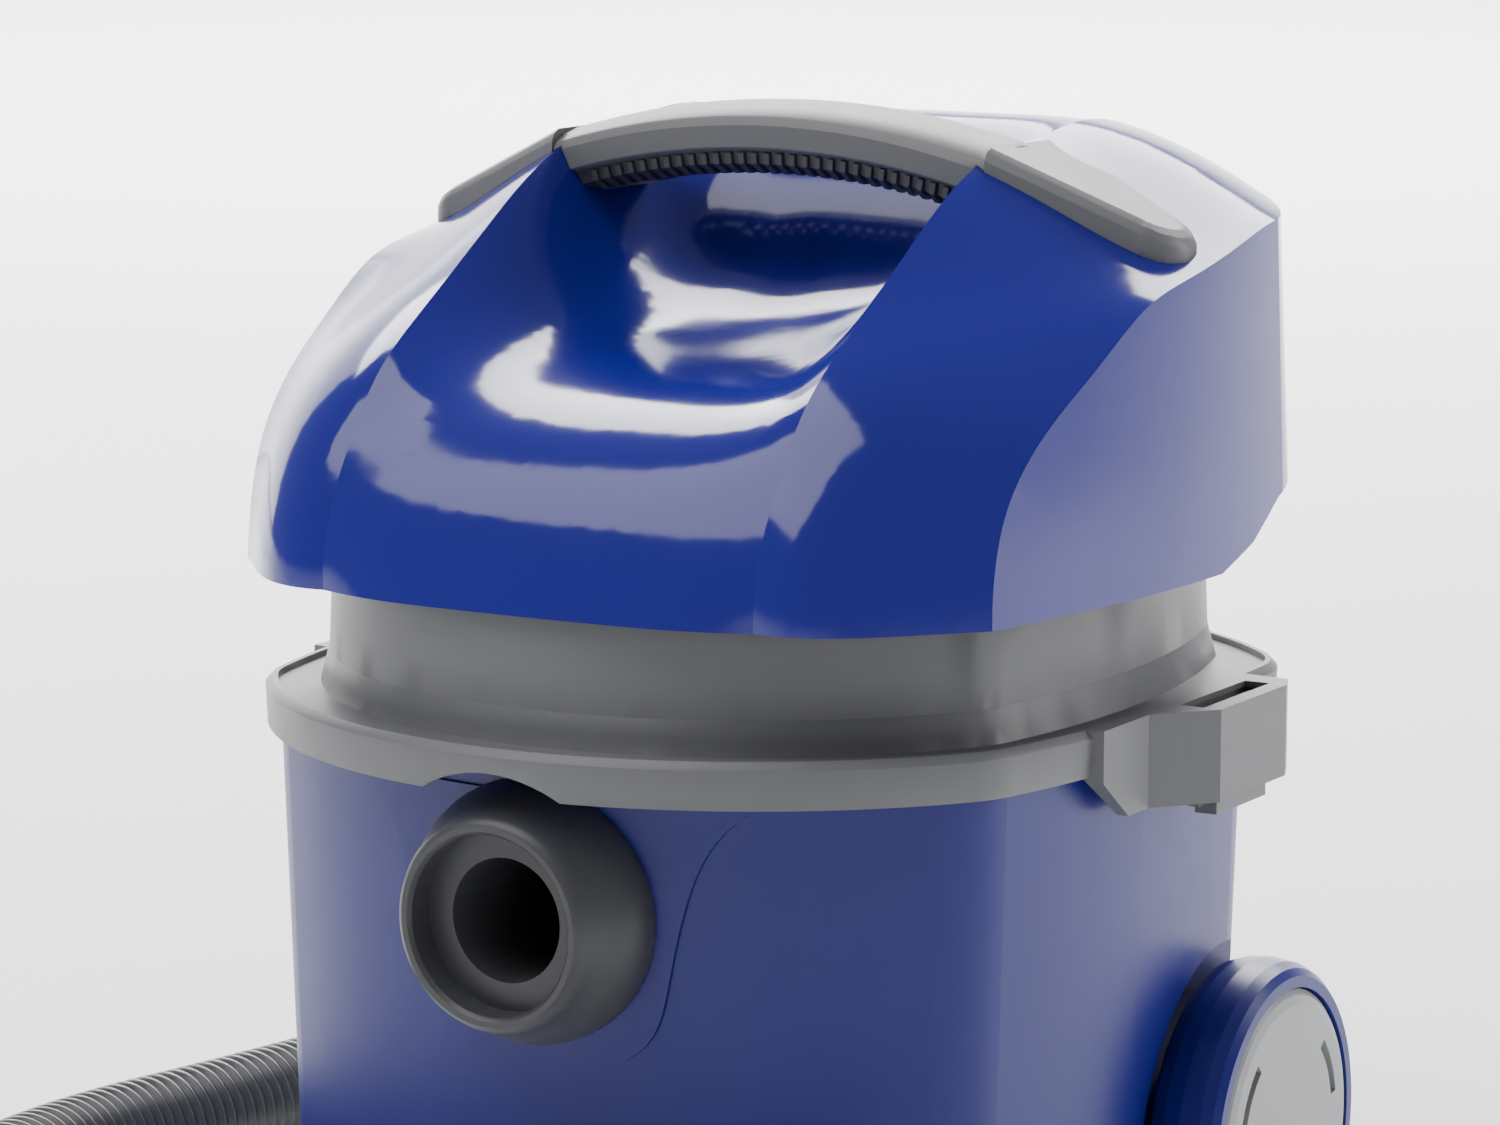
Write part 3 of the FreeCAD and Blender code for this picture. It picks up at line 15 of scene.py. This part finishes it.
import bpy
import numpy as np
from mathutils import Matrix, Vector

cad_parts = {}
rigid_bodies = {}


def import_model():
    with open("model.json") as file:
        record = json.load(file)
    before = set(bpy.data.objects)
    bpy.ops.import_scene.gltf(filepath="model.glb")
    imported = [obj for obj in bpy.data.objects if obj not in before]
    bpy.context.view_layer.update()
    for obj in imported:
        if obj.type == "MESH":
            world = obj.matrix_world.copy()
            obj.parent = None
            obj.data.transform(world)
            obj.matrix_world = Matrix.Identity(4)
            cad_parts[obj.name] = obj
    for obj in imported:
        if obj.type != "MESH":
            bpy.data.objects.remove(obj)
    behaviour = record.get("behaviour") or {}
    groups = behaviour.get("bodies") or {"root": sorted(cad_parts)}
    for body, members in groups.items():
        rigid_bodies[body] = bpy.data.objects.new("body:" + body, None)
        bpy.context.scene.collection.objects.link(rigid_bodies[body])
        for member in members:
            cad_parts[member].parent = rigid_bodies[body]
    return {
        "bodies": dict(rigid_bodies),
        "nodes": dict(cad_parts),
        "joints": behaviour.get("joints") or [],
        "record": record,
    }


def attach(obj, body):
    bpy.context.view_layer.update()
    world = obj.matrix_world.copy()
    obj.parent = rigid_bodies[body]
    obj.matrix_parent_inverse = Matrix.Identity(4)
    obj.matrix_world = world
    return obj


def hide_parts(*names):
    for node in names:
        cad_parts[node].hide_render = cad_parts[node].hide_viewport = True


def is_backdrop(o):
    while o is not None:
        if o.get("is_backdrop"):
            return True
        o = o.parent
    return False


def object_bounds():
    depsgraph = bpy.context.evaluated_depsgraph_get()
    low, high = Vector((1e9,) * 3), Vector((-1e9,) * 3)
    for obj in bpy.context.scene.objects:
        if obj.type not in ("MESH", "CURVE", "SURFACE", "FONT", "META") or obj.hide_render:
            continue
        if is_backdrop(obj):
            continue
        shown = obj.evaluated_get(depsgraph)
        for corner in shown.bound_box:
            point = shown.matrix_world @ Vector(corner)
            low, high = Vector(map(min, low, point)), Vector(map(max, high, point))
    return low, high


LOG = logging.getLogger("shop_vacuum")
MM = 0.001


# --------------------------------------------------------------------------------------------
# Small helpers: colours, shader nodes, meshes
# --------------------------------------------------------------------------------------------


def linear(hex_colour: str) -> tuple[float, float, float, float]:
    """Turn an sRGB hex colour into scene-linear light.

    Args:
        hex_colour: Six hex digits, with or without a leading #.

    Returns:
        Red, green, blue and an alpha of one.
    """
    digits = hex_colour.lstrip("#")
    channels = []
    for start in (0, 2, 4):
        value = int(digits[start : start + 2], 16) / 255
        channels.append(value / 12.92 if value <= 0.04045 else ((value + 0.055) / 1.055) ** 2.4)
    return (channels[0], channels[1], channels[2], 1.0)


def add_node(tree: bpy.types.NodeTree, kind: str, settings: Optional[dict] = None,
             links: Optional[dict] = None) -> bpy.types.Node:
    """Add a shader node.

    Args:
        tree: The node tree it goes into.
        kind: The node's class name.
        settings: Values by input name or index, or by attribute name.
        links: Output sockets by the input they feed.

    Returns:
        The new node.
    """
    made = tree.nodes.new(kind)
    for key, value in (settings or {}).items():
        if isinstance(key, int) or key in made.inputs:
            made.inputs[key].default_value = value
        else:
            setattr(made, key, value)
    for key, socket in (links or {}).items():
        tree.links.new(socket, made.inputs[key])
    return made


def grains_per_metre(size_mm: float) -> float:
    """Give the noise scale of grains of a real size.

    Args:
        size_mm: Grain size in millimetres.

    Returns:
        Grains in one metre.
    """
    return 1.0 / (size_mm * MM)


def new_mesh(name: str, points: Sequence, faces: Sequence,
             smooth: bool = True) -> bpy.types.Object:
    """Make a mesh object from points and faces.

    Args:
        name: The piece's name.
        points: Corner points in metres.
        faces: Corner numbers of each face.
        smooth: Whether faces shade smoothly.

    Returns:
        The object, linked into the scene.
    """
    mesh = bpy.data.meshes.new(name)
    mesh.from_pydata([tuple(point) for point in points], [], [tuple(face) for face in faces])
    mesh.validate()
    mesh.polygons.foreach_set("use_smooth", [smooth] * len(mesh.polygons))
    thing = bpy.data.objects.new(name, mesh)
    bpy.context.scene.collection.objects.link(thing)
    return thing


def aim(thing: bpy.types.Object, place: Sequence[float], target: Sequence[float]) -> None:
    """Stand a camera or lamp somewhere and point it.

    Args:
        thing: The camera or lamp.
        place: Where it stands, in metres.
        target: What it points at.
    """
    thing.location = place
    thing.rotation_mode = "QUATERNION"
    thing.rotation_quaternion = (Vector(target) - Vector(place)).to_track_quat("-Z", "Y")


def soften(thing: bpy.types.Object, width: float, segments: int = 2,
           angle: float = 32.0) -> None:
    """Round the hard edges of a piece by a real radius and keep its broad faces flat.

    Args:
        thing: The mesh object.
        width: Edge radius in metres.
        segments: Steps across the rounding.
        angle: Edges sharper than this many degrees are rounded.
    """
    weld = thing.modifiers.new("joined_corners", "WELD")
    weld.merge_threshold = 0.00002
    bevel = thing.modifiers.new("rounded_edges", "BEVEL")
    bevel.width = width
    bevel.segments = segments
    bevel.limit_method = "ANGLE"
    bevel.angle_limit = math.radians(angle)
    bevel.use_clamp_overlap = True
    bevel.harden_normals = True


# --------------------------------------------------------------------------------------------
# Finishes
# --------------------------------------------------------------------------------------------


@dataclass(frozen=True)
class MouldedPlastic:
    """Injection-moulded plastic: a mould grain, faint flow patches and a softly uneven gloss.

    Attributes:
        name: Material name in a maker's words.
        colour: sRGB hex of the resin.
        roughness: Mean surface roughness.
        ior: Refractive index of the polymer.
        grain_mm: Size of the mould grain.
        grain_depth_mm: Depth of the mould grain.
        patch: Share by which broad patches vary in brightness.
        gloss_spread: Half range of the roughness variation.
    """

    name: str
    colour: str
    roughness: float
    ior: float
    grain_mm: float
    grain_depth_mm: float
    patch: float = 0.04
    gloss_spread: float = 0.03

    # flow patches are about a hand's width, handling marks about a fingertip's
    FLOW_MM = 70.0
    HANDLING_MM = 18.0

    def build(self) -> bpy.types.Material:
        """Make the material."""
        material = bpy.data.materials.new(self.name)
        material.use_nodes = True
        tree = material.node_tree
        tree.nodes.clear()
        place = add_node(tree, "ShaderNodeTexCoord").outputs["Object"]
        flow = add_node(tree, "ShaderNodeTexNoise",
                        {"Scale": grains_per_metre(self.FLOW_MM), "Detail": 3.0},
                        {"Vector": place})
        shade = add_node(tree, "ShaderNodeMapRange",
                         {"To Min": 1.0 - self.patch, "To Max": 1.0 + self.patch},
                         {"Value": flow.outputs["Fac"]})
        base = linear(self.colour)
        tint = add_node(tree, "ShaderNodeVectorMath",
                        {"operation": "SCALE", 0: base[:3]}, {"Scale": shade.outputs["Result"]})
        handling = add_node(tree, "ShaderNodeTexNoise",
                            {"Scale": grains_per_metre(self.HANDLING_MM), "Detail": 4.0},
                            {"Vector": place})
        gloss = add_node(tree, "ShaderNodeMapRange",
                         {"To Min": self.roughness - self.gloss_spread,
                          "To Max": self.roughness + self.gloss_spread},
                         {"Value": handling.outputs["Fac"]})
        grain = add_node(tree, "ShaderNodeTexNoise",
                         {"Scale": grains_per_metre(self.grain_mm), "Detail": 2.0},
                         {"Vector": place})
        bump = add_node(tree, "ShaderNodeBump",
                        {"Strength": 1.0, "Distance": self.grain_depth_mm * MM},
                        {"Height": grain.outputs["Fac"]})
        surface = add_node(tree, "ShaderNodeBsdfPrincipled", {"IOR": self.ior},
                           {"Base Color": tint.outputs[0], "Roughness": gloss.outputs["Result"],
                            "Normal": bump.outputs["Normal"]})
        add_node(tree, "ShaderNodeOutputMaterial", {}, {"Surface": surface.outputs["BSDF"]})
        return material


@dataclass(frozen=True)
class WorkedMetal:
    """A metal with fine tool marks and uneven brightness.

    Attributes:
        name: Material name.
        colour: sRGB hex of the reflection.
        roughness: Mean roughness.
        mark_mm: Spacing of the tool marks.
        mark_depth_mm: Depth of the marks.
        stretch: Scale along x, y and z, smaller along the marks.
    """

    # half range of the roughness between one mark and the next
    GLOSS_SPREAD = 0.08

    name: str
    colour: str
    roughness: float
    mark_mm: float
    mark_depth_mm: float
    stretch: tuple[float, float, float] = (1.0, 1.0, 1.0)

    def build(self) -> bpy.types.Material:
        """Make the material."""
        material = bpy.data.materials.new(self.name)
        material.use_nodes = True
        tree = material.node_tree
        tree.nodes.clear()
        place = add_node(tree, "ShaderNodeTexCoord").outputs["Object"]
        along = add_node(tree, "ShaderNodeMapping", {"Scale": self.stretch}, {"Vector": place})
        marks = add_node(tree, "ShaderNodeTexNoise",
                         {"Scale": grains_per_metre(self.mark_mm), "Detail": 3.0},
                         {"Vector": along.outputs["Vector"]})
        rough = add_node(tree, "ShaderNodeMapRange",
                         {"To Min": self.roughness - self.GLOSS_SPREAD,
                          "To Max": self.roughness + self.GLOSS_SPREAD},
                         {"Value": marks.outputs["Fac"]})
        bump = add_node(tree, "ShaderNodeBump",
                        {"Strength": 1.0, "Distance": self.mark_depth_mm * MM},
                        {"Height": marks.outputs["Fac"]})
        surface = add_node(tree, "ShaderNodeBsdfPrincipled",
                           {"Base Color": linear(self.colour), "Metallic": 1.0},
                           {"Roughness": rough.outputs["Result"],
                            "Normal": bump.outputs["Normal"]})
        add_node(tree, "ShaderNodeOutputMaterial", {}, {"Surface": surface.outputs["BSDF"]})
        return material


FINISHES = {
    # polished ABS cover with a faint orange-peel ripple of 9 mm; ABS refracts at about 1.54
    "gloss_blue": MouldedPlastic("gloss_blue_moulded_abs", "#22248E", 0.10, 1.54, 9.0, 0.012,
                                 0.03, 0.015),
    # polypropylene tank with a satin mould skin, grain 1.6 mm; it refracts at about 1.49
    "satin_blue": MouldedPlastic("satin_blue_moulded_polypropylene", "#191E7C", 0.34, 1.49,
                                 1.6, 0.012, 0.04, 0.03),
    # head moulding, handle, pads and latches: eroded mould grain, matt with a soft sheen
    "grey_plastic": MouldedPlastic("grained_grey_moulded_polypropylene", "#737477", 0.42, 1.49,
                                   0.8, 0.03, 0.04, 0.04),
    "charcoal_plastic": MouldedPlastic("charcoal_moulded_polypropylene", "#4A4B4F", 0.40, 1.49,
                                       0.8, 0.03, 0.04, 0.04),
    "black_plastic": MouldedPlastic("black_moulded_nylon", "#232427", 0.45, 1.53, 0.9, 0.03),
    "light_grey_plastic": MouldedPlastic("light_grey_moulded_abs", "#A9ABAD", 0.38, 1.54,
                                         0.9, 0.02),
    # the hose is extruded, so it is glossier than the mouldings beside it
    "hose_plastic": MouldedPlastic("charcoal_extruded_eva_hose", "#48494C", 0.30, 1.48,
                                   1.2, 0.015, 0.06, 0.05),
    "rubber": MouldedPlastic("black_moulded_rubber", "#1E1E20", 0.62, 1.52, 1.0, 0.05, 0.08,
                             0.06),
    "motor_resin": MouldedPlastic("cream_moulded_phenolic", "#B9AE93", 0.50, 1.60, 1.2, 0.03),
    "foam": MouldedPlastic("grey_open_cell_polyurethane_foam", "#4B4D50", 0.92, 1.50, 1.1, 0.5,
                           0.10, 0.04),
    "float_plastic": MouldedPlastic("white_blown_polyethylene", "#DEDFDC", 0.36, 1.51, 1.5,
                                    0.02),
    # turned pins and shafts show marks round them, plated sheet a spangle of about 2 mm
    "steel": WorkedMetal("turned_bright_steel", "#B9BBBD", 0.28, 0.4, 0.006, (1.0, 0.1, 1.0)),
    "sheet_steel": WorkedMetal("zinc_plated_pressed_steel", "#A8ABAE", 0.40, 2.2, 0.01),
    "laminated_steel": WorkedMetal("varnished_laminated_steel", "#77736C", 0.45, 0.5, 0.05,
                                   (0.05, 0.05, 1.0)),
    # wires of 0.6 mm lie side by side under enamel
    "copper": WorkedMetal("enamelled_copper_winding", "#B4683A", 0.30, 0.6, 0.10,
                          (0.1, 1.0, 1.0)),
    "carbon": MouldedPlastic("pressed_graphite", "#2B2B2D", 0.55, 1.90, 0.5, 0.02),
}


# --------------------------------------------------------------------------------------------
# The hose
# --------------------------------------------------------------------------------------------


@dataclass(frozen=True)
class HoseSize:
    """Sizes of the corrugated hose, in metres.

    Attributes:
        radius: Over the crests of the ribs.
        root: Radius in the grooves.
        pitch: From one crest to the next.
        crest_power: Below one, the crests are wide and the grooves narrow.
        length: Real length along the middle; not used.
    """

    radius: float = 0.020
    root: float = 0.0178
    pitch: float = 0.0047
    crest_power: float = 0.6
    length: float = 1.345


HOSE_ROUTE = (
    (-0.050, 0.195, 0.318), (-0.050, 0.290, 0.318), (-0.075, 0.372, 0.278),
    (-0.119, 0.419, 0.209), (-0.170, 0.419, 0.130), (-0.215, 0.372, 0.060),
    (-0.240, 0.290, 0.0206), (-0.240, 0.195, 0.0206), (-0.230, 0.112, 0.0206),
    (-0.244, 0.030, 0.0206), (-0.264, -0.052, 0.0206), (-0.254, -0.140, 0.0206),
    (-0.206, -0.214, 0.0206), (-0.130, -0.264, 0.0206), (-0.038, -0.286, 0.0206),
    (0.048, -0.280, 0.0206),
)


class Hose:
    """The loose corrugated hose from the blower port to its hand grip."""

    # points round the hose, rings to one rib, and steps between two points of the route
    AROUND = 40
    PER_PITCH = 6
    ROUTE_STEPS = 24

    def __init__(self, size: HoseSize) -> None:
        """Keep the hose's sizes."""
        self.size = size

    def centre_line(self) -> np.ndarray:
        """Lay a smooth curve along the route.

        Returns:
            Points along the curve, in metres.
        """
        data = bpy.data.curves.new("hose_route", "CURVE")
        data.dimensions = "3D"
        data.resolution_u = self.ROUTE_STEPS
        spline = data.splines.new("NURBS")
        spline.points.add(len(HOSE_ROUTE) - 1)
        for point, place in zip(spline.points, HOSE_ROUTE):
            point.co = (*place, 1.0)
        spline.order_u = 3
        spline.use_endpoint_u = True
        route = bpy.data.objects.new("hose_route", data)
        bpy.context.scene.collection.objects.link(route)
        bpy.context.view_layer.update()
        mesh = bpy.data.meshes.new_from_object(route)
        line = np.array([vertex.co for vertex in mesh.vertices], float)
        bpy.data.meshes.remove(mesh)
        bpy.data.objects.remove(route)
        return line

    def build(self) -> bpy.types.Object:
        """Returns:
            The hose, riding on the head.
        """
        line = self.centre_line()
        steps = np.linalg.norm(np.diff(line, axis=0), axis=1)
        reach = np.concatenate([[0.0], np.cumsum(steps)])
        total = float(reach[-1])
        count = int(total / self.size.pitch) * self.PER_PITCH
        stations = np.linspace(0.0, total, count + 1)
        centres = np.stack([np.interp(stations, reach, line[:, axis]) for axis in range(3)], 1)
        along = np.gradient(centres, axis=0)
        along /= np.linalg.norm(along, axis=1)[:, None]
        side = np.array([1.0, 0.0, 0.0])
        points = []
        for number, (centre, direction) in enumerate(zip(centres, along)):
            side = side - direction * float(side @ direction)
            side /= np.linalg.norm(side)
            up = np.cross(direction, side)
            wave = 0.5 + 0.5 * math.cos(2 * math.pi * number / self.PER_PITCH)
            rise = (self.size.radius - self.size.root) * wave**self.size.crest_power
            radius = self.size.root + rise
            for turn in range(self.AROUND):
                angle = 2 * math.pi * turn / self.AROUND
                points.append(centre + radius * (side * math.cos(angle) + up * math.sin(angle)))
        rings = len(centres)
        faces = [
            (ring * self.AROUND + turn, ring * self.AROUND + (turn + 1) % self.AROUND,
             (ring + 1) * self.AROUND + (turn + 1) % self.AROUND, (ring + 1) * self.AROUND + turn)
            for ring in range(rings - 1) for turn in range(self.AROUND)
        ]
        hose = new_mesh("hose_ribbed", points, faces)
        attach(hose, "head")
        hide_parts("hose_tube")
        LOG.info("%s: %.3f m long", hose.name, total)
        return hose


# --------------------------------------------------------------------------------------------
# The handle's ribbed grip
# --------------------------------------------------------------------------------------------


@dataclass(frozen=True)
class GripSize:
    """Sizes of the ribs under the handle, in metres.

    Attributes:
        arch_centre: Height of the arch's centre above the floor.
        arch_radius: Radius of the arch over the handle's crest.
        front: Distance of the handle's front edge behind the middle plane.
        depth: Front-to-back depth of the handle.
        half_span: Half the length over which the ribs are spread.
        pitch: From one rib to the next.
        half_rib: Half the thickness of one rib.
        edge: Radius on a rib's edges.
    """

    arch_centre: float = 0.1055
    arch_radius: float = 0.300
    front: float = 0.0005
    depth: float = 0.045
    half_span: float = 0.074
    pitch: float = 0.0052
    half_rib: float = 0.0012
    edge: float = 0.0004


class GripRibs:
    """The row of ribs that wraps the underside of the handle's dark grip."""

    # how far each corner of a rib stands behind the handle's front edge, and below its crest
    PROFILE_MM = ((1.9, 16.6), (2.2, 20.6), (7.6, 24.0))

    def __init__(self, size: GripSize) -> None:
        """Keep the grip's sizes."""
        self.size = size

    def build(self) -> bpy.types.Object:
        """Build every rib as one mesh.

        Returns:
            The ribs, riding on the head.
        """
        size = self.size
        front = [(size.front + back * MM, size.arch_radius - drop * MM)
                 for back, drop in self.PROFILE_MM]
        rear = [(2 * size.front + size.depth - y, reach) for y, reach in reversed(front)]
        profile = front + rear
        count = int(size.half_span / size.pitch)
        points, faces = [], []
        for number in range(-count, count + 1):
            angle = number * size.pitch / size.arch_radius
            for side in (-size.half_rib, size.half_rib):
                for y, reach in profile:
                    points.append((reach * math.sin(angle) + side * math.cos(angle), y,
                                   size.arch_centre + reach * math.cos(angle)
                                   - side * math.sin(angle)))
            first = len(points) - 2 * len(profile)
            second = first + len(profile)
            faces.append(tuple(range(first, second)))
            faces.append(tuple(reversed(range(second, second + len(profile)))))
            for corner in range(len(profile)):
                after = (corner + 1) % len(profile)
                faces.append((first + after, first + corner, second + corner, second + after))
        ribs = new_mesh("grip_ribs", points, faces, smooth=False)
        soften(ribs, size.edge)
        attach(ribs, "head")
        LOG.info("%s: %d ribs", ribs.name, 2 * count + 1)
        return ribs


# --------------------------------------------------------------------------------------------
# The studio
# --------------------------------------------------------------------------------------------


@dataclass(frozen=True)
class SoftBox:
    """One soft light.

    Attributes:
        name: The light's name.
        place: Where it stands, in metres.
        target: What it points at.
        size: Width and height in metres.
        power: Watts.
    """

    name: str
    place: tuple[float, float, float]
    target: tuple[float, float, float]
    size: tuple[float, float]
    power: float

    def build(self) -> None:
        """Hang the light."""
        data = bpy.data.lights.new(self.name, "AREA")
        data.shape = "RECTANGLE"
        data.size, data.size_y = self.size
        data.energy = self.power
        lamp = bpy.data.objects.new(self.name, data)
        aim(lamp, self.place, self.target)
        bpy.context.scene.collection.objects.link(lamp)


@dataclass(frozen=True)
class Studio:
    """Floor, soft lights and the camera.

    Attributes:
        eye: Camera position in metres.
        target: Point that the camera looks at.
        lens: Focal length in millimetres.
        sensor: Sensor width in millimetres.
        heading: Way from the camera over the object, in plan; the floor runs along it.
        reach: How far the floor runs before, behind and beside the middle.
        bend: Radius of the curve up into the backdrop.
        wall_top: Height of the backdrop.
        air: Brightness of the surroundings.
    """

    eye: tuple[float, float, float] = (0.8421, -1.4302, 0.5213)
    target: tuple[float, float, float] = (-0.0122, 0.0128, 0.2485)
    lens: float = 120.0
    sensor: float = 36.0
    heading: tuple[float, float, float] = (-0.5029, 0.8493, 0.0)
    reach: float = 9.0
    bend: float = 0.8
    wall_top: float = 5.0
    air: float = 0.22

    BEND_STEPS = 9
    FLOOR = MouldedPlastic("white_painted_floor", "#F7F7F7", 0.55, 1.5, 2.0, 0.01, 0.004, 0.01)
    MIDDLE = (0.0, 0.0, 0.25)
    LIGHTS = (
        SoftBox("left_softbox", (-1.9, 0.9, 1.0), MIDDLE, (1.0, 1.6), 14.0),
        SoftBox("right_softbox", (2.1, 1.5, 1.1), MIDDLE, (0.8, 1.6), 26.0),
        SoftBox("top_softbox", (-0.6, -0.9, 2.1), (-0.2, -0.3, 0.3), (1.7, 1.7), 32.0),
        SoftBox("backdrop_light", (-2.9, 4.9, 4.2), (-3.1, 5.3, 0.0), (7.0, 6.0), 1750.0),
    )

    def camera(self) -> None:
        """Set up the camera."""
        data = bpy.data.cameras.new("studio_camera")
        data.lens = self.lens
        data.sensor_width = self.sensor
        data.clip_start, data.clip_end = 0.05, 50.0
        camera = bpy.data.objects.new("studio_camera", data)
        aim(camera, self.eye, self.target)
        bpy.context.scene.collection.objects.link(camera)
        bpy.context.scene.camera = camera

    def floor(self) -> None:
        """Lay a pale floor that curves up into a backdrop far behind."""
        profile = [(-self.reach, 0.0), (self.reach, 0.0)]
        for step in range(1, self.BEND_STEPS + 1):
            turn = math.radians(90 * step / self.BEND_STEPS)
            profile.append((self.reach + self.bend * math.sin(turn),
                            self.bend * (1 - math.cos(turn))))
        profile.append((self.reach + self.bend, self.wall_top))
        heading = Vector(self.heading).normalized()
        across = Vector((heading.y, -heading.x, 0.0))
        points = []
        for along, height in profile:
            for side in (-self.reach, self.reach):
                points.append(heading * along + across * side + Vector((0, 0, height)))
        faces = [(2 * i, 2 * i + 1, 2 * i + 3, 2 * i + 2) for i in range(len(profile) - 1)]
        floor = new_mesh("studio_floor", points, faces)
        floor.data.materials.append(self.FLOOR.build())
        floor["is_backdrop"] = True

    def surroundings(self) -> None:
        """Fill the air round the set with a faint even light."""
        world = bpy.data.worlds.new("studio_air")
        world.use_nodes = True
        tree = world.node_tree
        tree.nodes.clear()
        sky = add_node(tree, "ShaderNodeBackground",
                       {"Color": (1.0, 1.0, 1.0, 1.0), "Strength": self.air})
        add_node(tree, "ShaderNodeOutputWorld", {}, {"Surface": sky.outputs["Background"]})
        bpy.context.scene.world = world

    def build(self) -> None:
        """Put up the whole studio."""
        self.camera()
        self.floor()
        for light in self.LIGHTS:
            light.build()
        self.surroundings()
        LOG.info("studio: %d lights", len(self.LIGHTS))


# --------------------------------------------------------------------------------------------
# The whole model
# --------------------------------------------------------------------------------------------


class ShopVacuum:
    """Puts the finishes on the pieces of the frame and adds the pieces built here."""

    # edge radius in millimetres that the mould leaves on each piece
    EDGE_MM = {"head_base": 0.8, "handle_bar": 1.4, "handle_pad_left": 1.2,
               "handle_pad_right": 1.2, "latch_left": 0.5, "latch_right": 0.5,
               "inlet_port": 0.5}

    def __init__(self) -> None:
        """Load the frame and make one material for each slot."""
        self.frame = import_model()
        self.cad_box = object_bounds()
        self.materials = {slot: finish.build() for slot, finish in FINISHES.items()}
        self.slots = {part["node"]: part["material_slot"]
                      for part in self.frame["record"]["subparts"]}

    def dress(self, thing: bpy.types.Object, slot: str) -> None:
        """Give a piece the finish of a slot.

        Args:
            thing: The piece.
            slot: The slot's name.
        """
        thing.data.materials.clear()
        thing.data.materials.append(self.materials[slot])

    def finish_nodes(self) -> None:
        """Dress every piece of the frame and round the edges that show."""
        for name, thing in self.frame["nodes"].items():
            self.dress(thing, self.slots[name])
            if name in self.EDGE_MM:
                soften(thing, self.EDGE_MM[name] * MM)
            LOG.info("%s: %s", name, self.slots[name])


def main() -> None:
    """Build the scene."""
    logging.basicConfig(level=logging.INFO, format="%(name)s: %(message)s")
    vacuum = ShopVacuum()
    vacuum.finish_nodes()
    vacuum.dress(Hose(HoseSize()).build(), "hose_plastic")
    vacuum.dress(GripRibs(GripSize()).build(), "charcoal_plastic")
    Studio().build()


if __name__ == "__main__":
    main()
